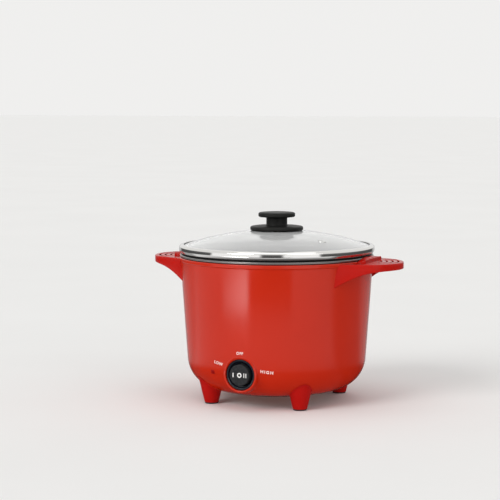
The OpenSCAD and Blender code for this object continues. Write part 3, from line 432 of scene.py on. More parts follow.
class Wall:
    """One skin of the shell, placed by an angle and by a distance along its profile."""

    def __init__(self, offset):
        self.offset = offset
        self.arc_r = ROUND - offset
        self.arc_top = ROUND_Z - self.arc_r * sin(DRAFT)
        self.flat = self.arc_r * (pi / 2 - DRAFT)

    def radius(self, z):
        if z > self.arc_top:
            return BODY_R - (COLLAR_Z - z) * tan(DRAFT) - self.offset / cos(DRAFT)
        return ROUND_R + sqrt(max(0.0, self.arc_r ** 2 - (ROUND_Z - z) ** 2))

    def along(self, z):
        if z > self.arc_top:
            return self.flat + (z - self.arc_top) / cos(DRAFT)
        return self.arc_r * (asin(max(-1.0, (z - ROUND_Z) / self.arc_r)) + pi / 2)

    def at(self, s):
        if s <= self.flat:
            a = s / self.arc_r - pi / 2
            return ROUND_R + self.arc_r * cos(a), ROUND_Z + self.arc_r * sin(a)
        z = self.arc_top + (s - self.flat) * cos(DRAFT)
        return self.radius(z), z

    def rows(self, top):
        """Distances along the profile from the start of the round lower edge to a height."""
        length = self.along(top) - self.flat
        return ([self.flat * i / ARC_STEPS for i in range(ARC_STEPS)]
                + [self.flat + length * i / WALL_STEPS for i in range(WALL_STEPS + 1)])


OUTER, INNER = Wall(0.0), Wall(WALL)


def build_shell():
    skin = Skin()
    grids = {}
    for wall, top in ((OUTER, COLLAR_Z), (INNER, INNER_TOP)):
        lines = wall.rows(top)
        grid = [skin.ring(circle(*wall.at(s), COLUMNS)) for s in lines]
        grids[wall] = lines, grid
        for i in range(len(lines) - 1):
            for j in range(COLUMNS):
                if not any(first <= i < last and (j - middle + half) % COLUMNS < 2 * half
                           for middle, half, first, last in (SWITCH_PATCH, INLET_PATCH, PILOT_PATCH)):
                    k = (j + 1) % COLUMNS
                    skin.quad(grid[i][j], grid[i][k], grid[i + 1][k], grid[i + 1][j])

    def edge_loop(wall, patch):
        """The cut edge of a patch: its points, and their places by angle from its middle and distance."""
        lines, grid = grids[wall]
        middle, half, first, last = patch
        places = [(first, j) for j in range(-half, half)] + [(i, half) for i in range(first, last)]
        places += [(last, j) for j in range(half, -half, -1)] + [(i, -half) for i in range(last, first, -1)]
        return ([grid[i][(middle + j) % COLUMNS] for i, j in places],
                [(radians(j * 360.0 / COLUMNS), lines[i]) for i, j in places])

    def blend_to(wall, patch, axis, ends, steps=4):
        """Rings on the wall from the cut edge to a loop of places; returns the last ring."""
        ring, starts = edge_loop(wall, patch)
        rings = [ring]
        for k in range(1, steps + 1):
            row = []
            for (a0, s0), (a1, s1) in zip(starts, ends):
                r, z = wall.at(s0 + (s1 - s0) * k / steps)
                a = axis + a0 + (a1 - a0) * k / steps
                row.append(skin.add(r * cos(a), r * sin(a), z))
            rings.append(row)
        skin.bands(rings)
        return rings[-1]

    def boss(patch, axis, base, draft, far, foot, edge, bore, bevel, hollow):
        """A raised face on an axis: base gives its edge points with directions, and hollow closes it inside.
        A bevel sinks the upper part of the face towards its bore."""
        def depth_of(wall, point, d):
            x, y, u, v = point
            return sqrt(max(0.0, wall.radius(SWITCH_Z + y + v * d) ** 2 - (x + u * d) ** 2))

        def place_of(wall, point, d):
            x, y, u, v = point
            z = SWITCH_Z + y + v * d
            return asin((x + u * d) / wall.radius(z)), wall.along(z)

        def ring_of(places):
            """A ring from a distance outward and a depth at each point of the base."""
            row = []
            for (x, y, u, v), (d, depth) in zip(base, places):
                h = x + u * d
                row.append(skin.add(depth * cos(axis) - h * sin(axis),
                                    depth * sin(axis) + h * cos(axis), SWITCH_Z + y + v * d))
            return row

        sections = []
        for point in base:
            d = 0.0
            for _ in range(12):
                d = max(0.0, FACE - depth_of(OUTER, point, d)) * draft
            run = [far] + [d + (far - d) * t for t in (0.72, 0.45, 0.25)]
            line = [(e, depth_of(OUTER, point, e)) for e in run]
            line += [(d, depth_of(OUTER, point, d), foot), (0.0, FACE, edge),
                     (-bore, FACE - bevel * clamp(point[3]), 0.9), (-bore, FACE - 4.1)]
            sections.append(fillet(line, 6))
        ends = []
        for point in base:
            inner_d, depth = hollow[-1]
            d = inner_d
            for _ in range(12):
                d = inner_d - (depth - FACE + depth_of(INNER, point, d)) * draft
            ends.append(place_of(INNER, point, d))
        rings = [blend_to(OUTER, patch, axis, [place_of(OUTER, point, far) for point in base])]
        rings += [ring_of([line[k] for line in sections]) for k in range(1, len(sections[0]))]
        rings += [ring_of([(d, FACE - depth)] * len(base)) for d, depth in hollow]
        rings.append(blend_to(INNER, patch, axis, ends))
        skin.bands(rings)

    count = len(edge_loop(OUTER, SWITCH_PATCH)[0])
    seat = []
    for k in range(count):
        a = radians(-128.8 + 360.0 * k / count)
        seat.append((SEAT_R * cos(a), SEAT_R * sin(a), cos(a), sin(a)))
    boss(SWITCH_PATCH, radians(-90), seat, SEAT_DRAFT, far=5.6, foot=2.6, edge=1.3, bore=2.7, bevel=1.5,
         hollow=[(-3.8, 4.1), (-3.8, SEAT_DEPTH), (SEAT_DEPTH * SEAT_DRAFT, SEAT_DEPTH)])
    boss(INLET_PATCH, radians(90), outline(56, 27, 4, count), 0.0, far=4.6, foot=1.6, edge=1.0, bore=2.0,
         bevel=0.0, hollow=[(-2.5, 2.5), (-2.5, 2.5)])

    # The lens's hole goes straight through: half its width and height are 3.05 and 2.55
    axis = radians(PILOT_PATCH[0] * 360.0 / COLUMNS - 360.0)
    square = [(-1 + 0.5 * k, -1) for k in range(4)]
    for _ in range(3):
        square += [(-b, a) for a, b in square[-4:]]
    rings = []
    for wall in (OUTER, INNER):
        places = [(radians(PILOT_AZ) - axis + 3.05 * a / OUTER.radius(SWITCH_Z),
                   wall.along(SWITCH_Z) + 2.55 * b * wall.arc_r / ROUND) for a, b in square]
        rings.append(blend_to(wall, PILOT_PATCH, axis, places, 2))
    skin.bands(rings)

    # Collar with the top edge, and the flat underside with its hole
    collar = fillet([(BODY_R - 0.01, COLLAR_Z + 0.01), (BODY_R + 0.25, COLLAR_Z + 0.1, 0.3),
                     (COLLAR_R - 0.1, COLLAR_Z + 0.9, 0.5), (COLLAR_R, COLLAR_Z + 1.6, 0.4),
                     (COLLAR_R, BODY_TOP, 1.0), (120.97, BODY_TOP, 0.2), (120.95, BODY_TOP - 0.4)], 4)
    underside = ((66.0, LOW), (56.0, LOW), (55.3, LOW + 0.1), (55.0, LOW + 0.5), (55.0, LOW + 1.0),
                 (55.3, UNDER_TOP - 0.1), (56.0, UNDER_TOP), (64.0, UNDER_TOP))
    for row, profile in ((-1, collar[1:]), (0, underside)):
        rings = [skin.ring(circle(r, z, COLUMNS)) for r, z in profile]
        skin.bands([grids[OUTER][1][row]] + rings + [grids[INNER][1][row]])
    return skin


make("shell", build_shell(), [red_shell], "housing", ["outer_shell"], sharp=50)


# Handles: a plate whose edge is given by its distance from a centre, HC out from the axis

TIP_R, TIP_Y, ROOT_X, ROOT_Y = 52.5, 42.0, BODY_R - 25, 66.0
HC, CORNER = TIP_X - TIP_R, asin(TIP_Y / TIP_R)
SIDE = (ROOT_Y - TIP_Y) / (HC + sqrt(TIP_R ** 2 - TIP_Y ** 2) - ROOT_X)
GROOVES = [TIP_R - 6.5 - 7.0 * i for i in range(4)]
STEP_X, STEP_Y, STEP_GROOVES = COLLAR_R + 7.0, 30.0, (-14.0, 0.0, 14.0)
PLATE_LOW = GRIP_Z - 5.0


def handle_edge(a):
    """Distance of the handle's edge from its centre at an angle."""
    a = abs(a)
    if a <= CORNER:
        return TIP_R
    return (ROOT_Y - SIDE * (HC - ROOT_X)) / (sin(a) + SIDE * cos(a))


def wall_reach(z):
    return (COLLAR_R if z > COLLAR_Z + 0.8 else OUTER.radius(min(z, COLLAR_Z))) - SINK


def to_wall(a, z):
    """Distance from the handle's centre to the pot's wall at an angle and height."""
    r = wall_reach(z)
    return -HC * cos(a) + sqrt(max(0.0, r * r - (HC * sin(a)) ** 2))


def last_angle(z):
    """Angle at which the handle's edge meets the pot's wall at a height."""
    low, high = radians(80), radians(112)
    for _ in range(30):
        a = (low + high) / 2
        x, y = HC + handle_edge(a) * cos(a), handle_edge(a) * sin(a)
        if hypot(x, y) > wall_reach(z):
            low = a
        else:
            high = a
    return high


def handle_depth(x):
    """Height of the handle's side, which grows towards the pot."""
    return 8.5 + 22.3 * (max(0.0, TIP_X - x) / (TIP_X - (BODY_R - 17))) ** 2.5


def build_plate():
    """Plate and side, in sections from the wall along the top, round the edge and back under the plate."""
    skin = Skin()
    sections, deep, wide, soft = 168, 3.0, 1.2, 0.45
    # Half a groove: distance from its middle, and share of its depth
    half = ((wide + soft, 0.0), (wide + 0.35 * soft, 0.04), (wide + 0.05, 0.14), (wide - 0.05, 0.4),
            (wide - 0.12, 0.84), (wide - 0.4, 1.0))
    groove = [(-d, share) for d, share in half] + [(0.0, 1.0)] + list(reversed(half))
    before = None
    for k in range(sections + 1):
        side = 2.0 * k / sections - 1.0
        a_top = side * last_angle(GRIP_Z)
        edge = handle_edge(a_top)
        thick = 3.0
        if abs(a_top) > CORNER:
            thick /= max(0.5, cos(abs(a_top) - (pi / 2 - atan(SIDE))))
        low = GRIP_Z - handle_depth(HC + (edge - 0.5 * thick) * cos(a_top))
        line = [(0.0, GRIP_Z)]
        for g in reversed(GROOVES):
            end = min(radians(62), acos((STEP_X + 3.0 - HC) / g))
            drop = deep * clamp(0.5 + (end - abs(a_top)) * g / 1.6)
            line += [(g + d, GRIP_Z - share * drop) for d, share in groove]
        groove_end = len(line)
        line += fillet([(edge - 3.4, GRIP_Z), (edge, GRIP_Z, 1.5), (edge, low, 0.9),
                        (edge - thick, low, 0.7), (edge - thick, PLATE_LOW, 1.0),
                        (edge - thick - 4.0, PLATE_LOW)], 4)
        line.append((0.0, PLATE_LOW))
        ring = []
        for index, (d, z) in enumerate(line):
            a = side * last_angle(z)
            least = min(to_wall(a, z), handle_edge(a))
            if index < groove_end:
                # Points that the wall cuts off stay in order, a little apart
                least += 0.001 * index
            elif d > edge - thick - 1.5:
                d += handle_edge(a) - edge
            d = min(max(d, least), handle_edge(a))
            ring.append(skin.add(HC + d * cos(a), d * sin(a), z))
        for i in range(len(ring) if before else 0):
            j = (i + 1) % len(ring)
            high = max(skin.points[ring[i]][2], skin.points[ring[j]][2])
            # Faces down in a groove take the painted groove shade
            gets_groove_shade = i < groove_end and high < GRIP_Z - 0.8
            skin.quad(before[i], before[j], ring[j], ring[i], 1 if gets_groove_shade else 0)
        before = ring
    return skin


def step_top(x, y):
    """Height of the step's top: it falls outward, and towards both ends, with shallow grooves across it."""
    slope = clamp((x - COLLAR_R) / (STEP_X - COLLAR_R))
    rise = clamp((STEP_Y - abs(y)) / 22)
    inner = 1.6 + 4.9 * rise * (2 - rise)
    outer = 4.0 + 0.7 * clamp((STEP_Y - abs(y)) / 6)
    groove = max(clamp(1.0 - max(0.0, abs(y - at) - 0.7) / 0.5) for at in STEP_GROOVES)
    return GRIP_Z + inner * (1 - slope) + outer * slope - 1.2 * groove


def build_step():
    """Step beside the rim, as columns across it from one end to the other."""
    columns, soft = 40, 1.3
    places = {-STEP_Y + 2 * STEP_Y * k / columns for k in range(columns + 1)}
    for at in STEP_GROOVES:
        places.update((at - 1.25, at - 0.7, at + 0.7, at + 1.25))
    for d in (0.15, 0.4, 0.8, soft):
        places.update((-STEP_Y + d, STEP_Y - d))
    loops = []
    for y in sorted(places):
        end = soft - min(soft, STEP_Y - abs(y))
        inset = soft - sqrt(max(0.0, soft ** 2 - end ** 2))
        inner = sqrt((COLLAR_R + 0.05) ** 2 - y * y)
        outer = STEP_X - inset
        top = step_top(outer, y) - inset
        line = [(inner, GRIP_Z - 1.2), (outer, GRIP_Z - 1.2), (outer, GRIP_Z + 0.2),
                (outer, top - 1.2), (outer - 0.1, top - 0.65), (outer - 0.35, top - 0.25), (outer - 0.8, top)]
        for t in (0.25, 0.5, 0.75, 1.0):
            x = outer - 0.8 + (inner + 0.5 - outer + 0.8) * t
            line.append((x, step_top(x, y) - inset))
        line.append((inner, step_top(inner, y) - inset - 0.4))
        loops.append([(x, y, z) for x, z in line])
    return loft(loops)


def build_screw_boss(around):
    """Boss for a handle's screw under the plate, at an angle about the pot's axis."""
    steps, loops = 8, []
    for k in range(steps + 1):
        x = wall_reach(166) + 0.2 + 12.6 * k / steps
        low = GRIP_Z - min(17.8, handle_depth(x) - 0.6)
        trim = 0.7 if k == steps else 0.0
        half = [(4.5 - trim, GRIP_Z - 4.0), (4.5 - trim, low + 0.8), (4.2 - trim, low + 0.2 + trim),
                (3.6 - trim, low + trim)]
        loops.append([(x, -y, z) for y, z in half] + [(x, y, z) for y, z in reversed(half)])
    skin = loft(loops)
    c, s = cos(radians(around)), sin(radians(around))
    skin.move(lambda x, y, z: (x * c - y * s, x * s + y * c, z))
    return skin


for name, mirrored in (("right", False), ("left", True)):
    parts = [build_plate(), build_step(), build_screw_boss(-11.5), build_screw_boss(11.5)]
    if mirrored:
        for part in parts:
            part.move(lambda x, y, z: (-x, y, z))
    # The handles' second material is the painted shade in their grooves
    make("grip_" + name, parts, [red_plastic, groove_shade], "housing", ["handle_" + name],
         sharp=45)


# Feet and pads

FOOT_AT, FOOT_AZ, FOOT_R, PAD_T = 90.27, 48.4, 9.0, 1.5
FLARE = tan(radians(13.2))


def body_floor(x, y):
    """Height of the shell's outside over a point."""
    r = hypot(x, y)
    return LOW if r <= ROUND_R else ROUND_Z - sqrt(max(0.0, ROUND ** 2 - (r - ROUND_R) ** 2))


def build_foot(cx, cy):
    """A foot that widens upward and flows into the shell's round lower edge, a little below its surface."""
    sides, low_edge, blend = 64, PAD_T + 0.9, 1.8
    angles = [2 * pi * i / sides for i in range(sides)]

    def at(a, r):
        return cx + r * cos(a), cy + r * sin(a)

    tops = []
    for a in angles:
        low, high = PAD_T, 50.0
        for _ in range(40):
            z = (low + high) / 2
            if z < body_floor(*at(a, FOOT_R + (z - PAD_T) * FLARE)):
                low = z
            else:
                high = z
        tops.append(low)
    loops = [circle(r, z, sides, cx, cy) for r, z in (
        (4.0, PAD_T), (FOOT_R - 0.9, PAD_T), (FOOT_R - 0.35, PAD_T + 0.1), (FOOT_R - 0.1, PAD_T + 0.35),
        (FOOT_R + 0.02, low_edge))]
    for t in (0.2, 0.4, 0.6, 0.75, 0.86, 0.93, 0.97, 1.0, None):
        loop = []
        for a, top in zip(angles, tops):
            z = top + SINK if t is None else low_edge + (top - low_edge) * t
            near = min(blend, max(0.0, blend - (top - z)))
            loop.append((*at(a, FOOT_R + (z - PAD_T) * FLARE + 0.28 * near * near), z))
        loops.append(loop)
    for share in (0.75, 0.5, 0.25):
        loop = []
        for a, top in zip(angles, tops):
            x, y = at(a, (FOOT_R + (top + SINK - PAD_T) * FLARE + 0.9) * share)
            loop.append((x, y, body_floor(x, y) + SINK))
        loops.append(loop)
    return loft(loops, (cx, cy, body_floor(cx, cy) + SINK))


for row, front in (("front", -1), ("rear", 1)):
    for side, around in (("left", 180 - FOOT_AZ), ("right", FOOT_AZ)):
        name, a = row + "_" + side, radians(front * around)
        cx, cy = FOOT_AT * cos(a), FOOT_AT * sin(a)
        make("leg_" + name, build_foot(cx, cy), [red_foot], "housing", ["foot_" + name])
        sole = turned([(0, 0), (6.2, 0, 0.4), (6.6, 0.35, 0.3), (7.2, 0.35, 0.3), (7.5, 0, 0.3),
                       (8.5, 0, 0.5), (8.5, PAD_T, 0.2), (0, PAD_T)], 4, 64)
        make("sole_" + name, sole, [foot_rubber], "housing", ["pad_" + name],
             place=shift(cx, cy, 0))


# Rim ring and inner pot

lip_out, lip_in, ring_out = 120.14, 118.84, COLLAR_R - 0.9
make("rim", turned([
    (lip_in, 174.2, 0.5), (lip_out, 174.2, 0.5), (lip_out, BODY_TOP + 0.02, 0.1),
    (ring_out, BODY_TOP + 0.02, 0.15), (ring_out, RING_TOP, 0.3), (lip_in, RING_TOP, 0.4)], 4, 192),
     [rim_black], "housing", ["rim_ring"])

pot_low, pot_r, pot_wall, bend_at, bend_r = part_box("inner_pot")[0].z / MM, 117.84, 1.8, 94.68, 14.0
mouth_r, flange_r, bead = 116.24, COLLAR_R - 0.6, (POT_TOP - RING_TOP) / 2
pot_profile = (
    [(r, pot_low) for r in (0.0, 40.0, 80.0)]
    + arc_points(bend_at, pot_low + bend_r, bend_r, -90, -5.4, 14)
    + [(pot_r - 8.5, RING_TOP - 90), (pot_r - 4.7, RING_TOP - 50), (pot_r - 0.35, RING_TOP - 3.6)]
    + fillet([(pot_r - 0.3, RING_TOP - 3.0), (pot_r, RING_TOP, 0.7), (flange_r - 4, RING_TOP)], 4)[1:]
    + arc_points(flange_r - bead, RING_TOP + bead, bead, -90, 90, 14)
    + fillet([(flange_r - bead - 0.5, POT_TOP), (mouth_r + 0.2, POT_TOP, 1.0),
              (mouth_r - 0.15, POT_TOP - 3.0)], 5)
    + arc_points(bend_at, pot_low + bend_r, bend_r - pot_wall, -5.4, -90, 12)
    + [(r, pot_low + pot_wall) for r in (70.0, 30.0, 0.0)])


def pot_marks(a, b):
    """The inside is coated, from the mouth down."""
    inward = b[0] < a[0] and b[1] > pot_low + 1.0 and a[1] < POT_TOP - 0.9
    downward = a[0] < mouth_r + 0.3 and b[1] < a[1]
    return 1 if inward or downward else 0


make("pot", lathe(pot_profile, 192, pot_marks), [pot_metal, pot_coat], "inner_pot",
     ["inner_pot"])


# Lid: a glass dome in a steel band

GLASS_R, GLASS_T, DOME_TOP, RISE, HOLE_R = COLLAR_R + 0.5 - 3.7, 4.0, 216.0, 20.7, 5.0
DOME_R = (GLASS_R ** 2 + RISE ** 2) / (2 * RISE)


def dome(r, depth=0.0):
    """Height of the glass at a distance from the axis, or of a place in it at a depth."""
    return DOME_TOP - DOME_R + sqrt((DOME_R - depth) ** 2 - r * r)


def under(r):
    return dome(r, GLASS_T)


glass_steps = 44
span = [HOLE_R + (GLASS_R - HOLE_R) * i / glass_steps for i in range(glass_steps)]
edge = fillet([(GLASS_R - 2.0, under(GLASS_R - 2.0)), (GLASS_R, under(GLASS_R) + 0.05, 1.4),
               (GLASS_R, dome(GLASS_R) - 0.05, 1.4), (GLASS_R - 2.0, dome(GLASS_R - 2.0))], 5)
make("dome", lathe([(r, under(r)) for r in span] + edge + [(r, dome(r)) for r in reversed(span)], 192),
     [lid_clear], "lid", ["lid_glass"])

band_r, band_low, skirt_r = COLLAR_R + 0.49, POT_TOP + 2.3, mouth_r - 0.9
flange_in = band_r - 6.2


def band_under(r):
    """Height of the underside of the band's top, which falls outward."""
    return dome(flange_in) + 0.75 - (r - flange_in) * 0.16


def band_shade_marks(a, b):
    """Painted shade: the recess between the band and the pot's rim is painted black, for the shade that falls
    in it.
    """
    low_enough = max(a[1], b[1]) < band_low + 0.35 and min(a[1], b[1]) > RING_TOP
    return 1 if low_enough and max(a[0], b[0]) < band_r - 0.9 else 0


band_top = band_under(band_r - 2.6) + 0.8
# The band's second material paints shade black in the recess under it
make("band", turned([
    (skirt_r - 0.8, RING_TOP + 0.3, 0.25), (skirt_r, RING_TOP + 0.3, 0.25), (skirt_r, POT_TOP + 0.05, 0.2),
    (skirt_r + 4.2, POT_TOP + 0.05, 0.8), (skirt_r + 4.2, band_low, 0.8), (band_r - 1.6, band_low, 1.3),
    (band_r, band_low + 2.9, 3.2), (band_r - 0.02, band_top - 1.9, 1.6), (band_r - 2.2, band_top, 2.0),
    (flange_in, band_under(flange_in) + 0.8, 0.35), (flange_in, band_under(flange_in), 0.2),
    (band_r - 2.6, band_under(band_r - 2.6), 1.2), (band_r - 0.8, band_low + 5.4, 1.0),
    (band_r - 1.8, band_low + 0.8, 0.6), (skirt_r - 0.8, band_low + 0.8, 0.5)], 6, 240, band_shade_marks),
     [band_steel, rim_black], "lid", ["lid_band"])

seal_in, seal_gap = flange_in - 0.5, 0.03
make("seal", turned([
    (seal_in, band_low + 0.85, 0.5), (band_r - 2.1, band_low + 0.85, 0.3), (band_r - 1.3, band_low + 5.0, 0.5),
    (band_r - 2.7, band_under(band_r - 2.7) - 0.05, 0.3), (flange_in, band_under(flange_in) - 0.05),
    (seal_in, band_under(flange_in) + 0.1, 0.2), (seal_in, dome(seal_in) + seal_gap),
    (GLASS_R + seal_gap, dome(GLASS_R) + seal_gap), (GLASS_R + seal_gap, under(GLASS_R) - seal_gap),
    (seal_in, under(seal_in) - seal_gap)], 4, 192), [black_rubber], "lid", ["lid_seal"])

# Steam vent, tilted to stand square on the dome
VENT_AT, VENT_AZ = 85.6, -26.4
vent_low = DOME_R - GLASS_T
vent_place = shift(0, 0, DOME_TOP - DOME_R) @ turn(VENT_AZ, "Z") @ turn(degrees(asin(VENT_AT / DOME_R)), "Y")
make("vent_ring", turned([
    (1.6, vent_low - 0.9, 0.25), (4.6, vent_low - 0.9, 0.4), (4.6, vent_low - 0.05, 0.1),
    (3.1, vent_low - 0.05), (3.1, DOME_R + 0.05), (5.0, DOME_R + 0.05, 0.15), (4.7, DOME_R + 0.9, 0.5),
    (2.3, DOME_R + 1.2, 0.5), (1.6, DOME_R + 0.8, 0.3)], 4, 64), [washer_steel], "lid",
     ["vent_grommet"], place=vent_place)

# Knob: a flange and a grip above the glass, with a washer, a seal and a screw below it
hub_z, neck_r, disc_r, knob_r, bore_r = DOME_TOP + 1.6, 13.3, 23.3, 33.6, 2.6
base_top, disc_z = hub_z + 3.4, KNOB_TOP - 6.2
washer_z, boss_r = DOME_TOP - GLASS_T - 2.5, 4.6
washer_top, head_z = washer_z + 1.2, washer_z - 2.55
make("knob_flange", turned([
    (bore_r, washer_z + 1.22), (boss_r, washer_z + 1.22, 0.3), (boss_r, hub_z, 0.2), (18.0, hub_z),
    (20.0, dome(20) + 0.9, 0.5), (knob_r - 3.2, dome(knob_r - 3.2) + 0.35, 0.5),
    (knob_r, dome(knob_r) + 0.6, 2.4), (knob_r, base_top - 1.1, 2.2), (knob_r - 4.4, base_top - 0.35, 2.0),
    (neck_r + 1.5, base_top, 0.8), (bore_r, base_top)], 6, 128), [knob_black], "lid",
     ["knob_base"])
make("knob_grip", turned([
    (0, base_top), (neck_r + 0.9, base_top, 0.3), (neck_r, base_top + 1.4, 0.8), (neck_r, disc_z - 0.8, 1.4),
    (neck_r + 1.6, disc_z, 0.8), (disc_r - 1.0, disc_z + 0.2, 0.9), (disc_r, disc_z + 1.2, 0.8),
    (disc_r, KNOB_TOP - 1.3, 1.1), (disc_r - 1.6, KNOB_TOP - 0.35, 1.0), (disc_r - 5.0, KNOB_TOP - 0.05, 1.0),
    (disc_r - 6.0, KNOB_TOP - 0.45, 1.0), (0, KNOB_TOP - 0.5)], 5, 128), [knob_black], "lid",
     ["knob_top"])
make("under_washer", turned([
    (bore_r, washer_z, 0.2), (19.5, washer_z, 0.8), (21.0, washer_z + 0.9, 0.5), (20.5, washer_z + 1.6, 0.3),
    (19.0, washer_top, 0.4), (bore_r, washer_top, 0.2)], 4, 96), [washer_steel], "lid",
     ["knob_washer"])
make("under_seal", turned([
    (boss_r + 0.05, washer_z + 1.6, 0.1), (7.2, washer_z + 1.6, 0.2), (9.0, under(9.0) - 0.4, 0.2),
    (9.0, under(9.0) - 0.05, 0.1), (boss_r + 0.05, under(5.0) - 0.05, 0.1)], 4, 96), [milky_rubber], "lid",
     ["washer_seal"])
make("under_screw", turned([
    (0, head_z + 1.0), (1.3, head_z + 1.0, 0.2), (1.5, head_z + 0.1, 0.2), (3.4, head_z, 0.6),
    (4.8, head_z + 1.2, 0.8), (4.8, washer_z - 0.05, 0.2), (2.5, washer_z - 0.05), (2.5, disc_z - 2.6, 0.4),
    (0, disc_z - 2.6)], 4, 64), [zinc], "lid", ["knob_screw"])


# Spring under the sensor cup, drawn at one length

def coil(r, wire_r, low, high, curls, sides=10, per_curl=36):
    loops = []
    for k in range(curls * per_curl + 1):
        t = k / (curls * per_curl)
        a = 2 * pi * curls * t
        out = Vector((cos(a), sin(a), 0.0))
        middle = Vector((r * cos(a), r * sin(a), low + (high - low) * t))
        along = Vector((-r * sin(a), r * cos(a), (high - low) / (2 * pi * curls))).normalized()
        side = along.cross(out)
        loops.append([tuple(middle + x * out + y * side) for x, y, _ in circle(wire_r, 0.0, sides)])
    return loft(loops)


SPRING_WIRE, SPRING_CURLS, SENSOR_TRAVEL = 0.7, 6, 3.0
spring_low, spring_high = [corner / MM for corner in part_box("thermostat_spring")]
spring_skin = coil(spring_high.x - SPRING_WIRE, SPRING_WIRE, spring_low.z + SPRING_WIRE,
                   spring_high.z - SPRING_WIRE, SPRING_CURLS)
spring = make("sensor_spring", spring_skin, [plain_steel], "housing", ["thermostat_spring"])
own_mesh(spring)


# Switch: the frame's Z points out of the front

switch_place = shift(0, -FACE, SWITCH_Z) @ turn(90, "X")
make("switch_housing", turned([
    (0, -19.0), (15.6, -19.0, 0.4), (15.5, -5.7), (13.8, -5.6, 0.1), (13.8, -4.9, 0.2), (15.3, -4.7, 0.1),
    (15.3, -3.4, 0.4), (16.4, -2.35, 0.5), (18.3, -2.1, 0.5), (19.0, -2.9, 0.4), (19.0, -4.05, 0.2),
    (17.9, -4.1, 0.2), (17.9, -26.0, 0.6), (0, -26.0)], 5, 128), [switch_black], "housing",
     ["switch_body"], place=switch_place)


def rocker_face(x):
    """Height of the rocker's face: dished across, so that its two ends stand up for a finger."""
    return 1.9 - 0.75 * (1 - min(1.0, abs(x) / 12.0) ** 2)


def on_rocker(loop):
    """Lay a loop on the rocker's face: its heights are measured from there."""
    return [(x, y, rocker_face(x) + z) for x, y, z in loop]


def build_rocker():
    sides = 96
    loops = []
    for r, z in fillet([(0, -11.0), (11.0, -11.0, 0.5), (13.0, -8.0, 0.8), (13.0, 1.2)], 4)[1:]:
        loops.append(circle(r, z, sides) if z < 0 else on_rocker(circle(r, -0.8, sides)))
    for r, drop in [(12.85, 0.35), (12.5, 0.12), (12.0, 0.0)] + [(r, 0.0) for r in range(11, 0, -1)]:
        loops.append(on_rocker(circle(r, -drop, sides)))
    return loft(loops, (0, 0, rocker_face(0)))


def bar(x_mid, w, h):
    """A raised stroke on the rocker's face."""
    loops = []
    for lift, inset in ((-0.25, 0.0), (0.08, 0.0), (0.16, 0.12)):
        loops.append([(x_mid + x - inset * u, y - inset * v, rocker_face(x_mid + x) + lift)
                      for x, y, u, v in outline(w, h, 0.35, 28)])
    return loft(loops)


def ring_mark(r_out, r_in):
    """A raised ring on the rocker's face."""
    skin = Skin()
    rings = [skin.ring(on_rocker(circle(r, z, 64))) for r, z in (
        (r_in, -0.25), (r_in, 0.08), (r_in + 0.12, 0.16), (r_out - 0.12, 0.16), (r_out, 0.08), (r_out, -0.25))]
    skin.bands(rings + rings[:1])
    return skin


MARK_SPREAD = 8.2
make("rocker", build_rocker(), [rocker_grey], "rocker", ["switch_rocker"], place=switch_place)
for name, skins in (("mark_one", [bar(-MARK_SPREAD, 1.2, 5.6)]), ("mark_off", [ring_mark(3.0, 1.55)]),
                    ("mark_two", [bar(MARK_SPREAD - 2.1, 1.1, 5.6), bar(MARK_SPREAD + 0.7, 1.1, 5.6)])):
    make(name, skins, [mark_white], "rocker", place=switch_place)


# Pilot lens: a small pillow in its hole, with its collar and tube behind it

pilot_tilt = degrees(asin((ROUND_Z - SWITCH_Z) / ROUND))
pilot_place = turn(PILOT_AZ + 90, "Z") @ shift(0, -ROUND_R, ROUND_Z) @ turn(90 + pilot_tilt, "X")
pillow = loft([rounded(6.0, 5.0, 0.5, ROUND + z, inset) for z, inset in (
    (-2.0, 0.0), (0.0, 0.0), (0.2, 0.12), (0.33, 0.4), (0.4, 1.0), (0.42, 1.9))])
lens_collar = loft([rounded(9.0, 8.0, 0.6, ROUND + z, inset) for z, inset in (
    (-3.0, 0.3), (-2.91, 0.09), (-2.7, 0.0), (-1.9, 0.0), (-1.69, 0.09), (-1.6, 0.3))])
tube = loft([circle(r, ROUND + z, 48) for r, z in (
    (2.7, -3.2), (2.7, -12.8), (2.9, -13.0), (3.4, -13.0), (3.6, -12.8), (3.6, -2.6), (2.0, -2.6))])
make("lens", [pillow, lens_collar, tube], [lens_red], "housing", ["pilot_lens"], place=pilot_place)


# Mains inlet: the frame's Z points out of the back

inlet_place = shift(0, FACE, SWITCH_Z) @ turn(180, "Z") @ turn(90, "X")
socket = loft([rounded(w, h, corner, z, count=64) for w, h, corner, z in (
    (24.4, 16.4, 2.0, -15.5), (24.4, 16.4, 2.0, 2.0), (24.9, 16.9, 2.2, 2.4), (25.6, 17.6, 2.5, 2.55),
    (48.6, 21.6, 3.4, 2.55), (49.5, 22.5, 3.8, 2.3), (50.0, 23.0, 4.0, 1.8), (50.0, 23.0, 4.0, 0.05),
    (27.0, 20.0, 2.0, 0.05), (27.0, 20.0, 2.0, -21.6), (26.4, 19.4, 1.7, -22.0))])
make("inlet", socket, [inlet_black], "housing", ["power_inlet"], place=inlet_place)
screws = []
for screw_x in (-20.0, 20.0):
    screw = turned([(0, 3.6), (0.55, 3.6, 0.1), (0.7, 4.3, 0.1), (2.0, 4.35, 0.6), (3.3, 3.4, 0.5),
                    (3.3, 2.6, 0.15), (1.7, 2.6), (1.7, -8.0, 0.4), (0, -8.0)], 4, 48)
    screw.move(lambda x, y, z: (x + screw_x, y, z))
    screws.append(screw)
make("inlet_fixings", screws, [zinc], "housing", ["inlet_screws"], place=inlet_place)


# Words beside the switch, laid on the wall

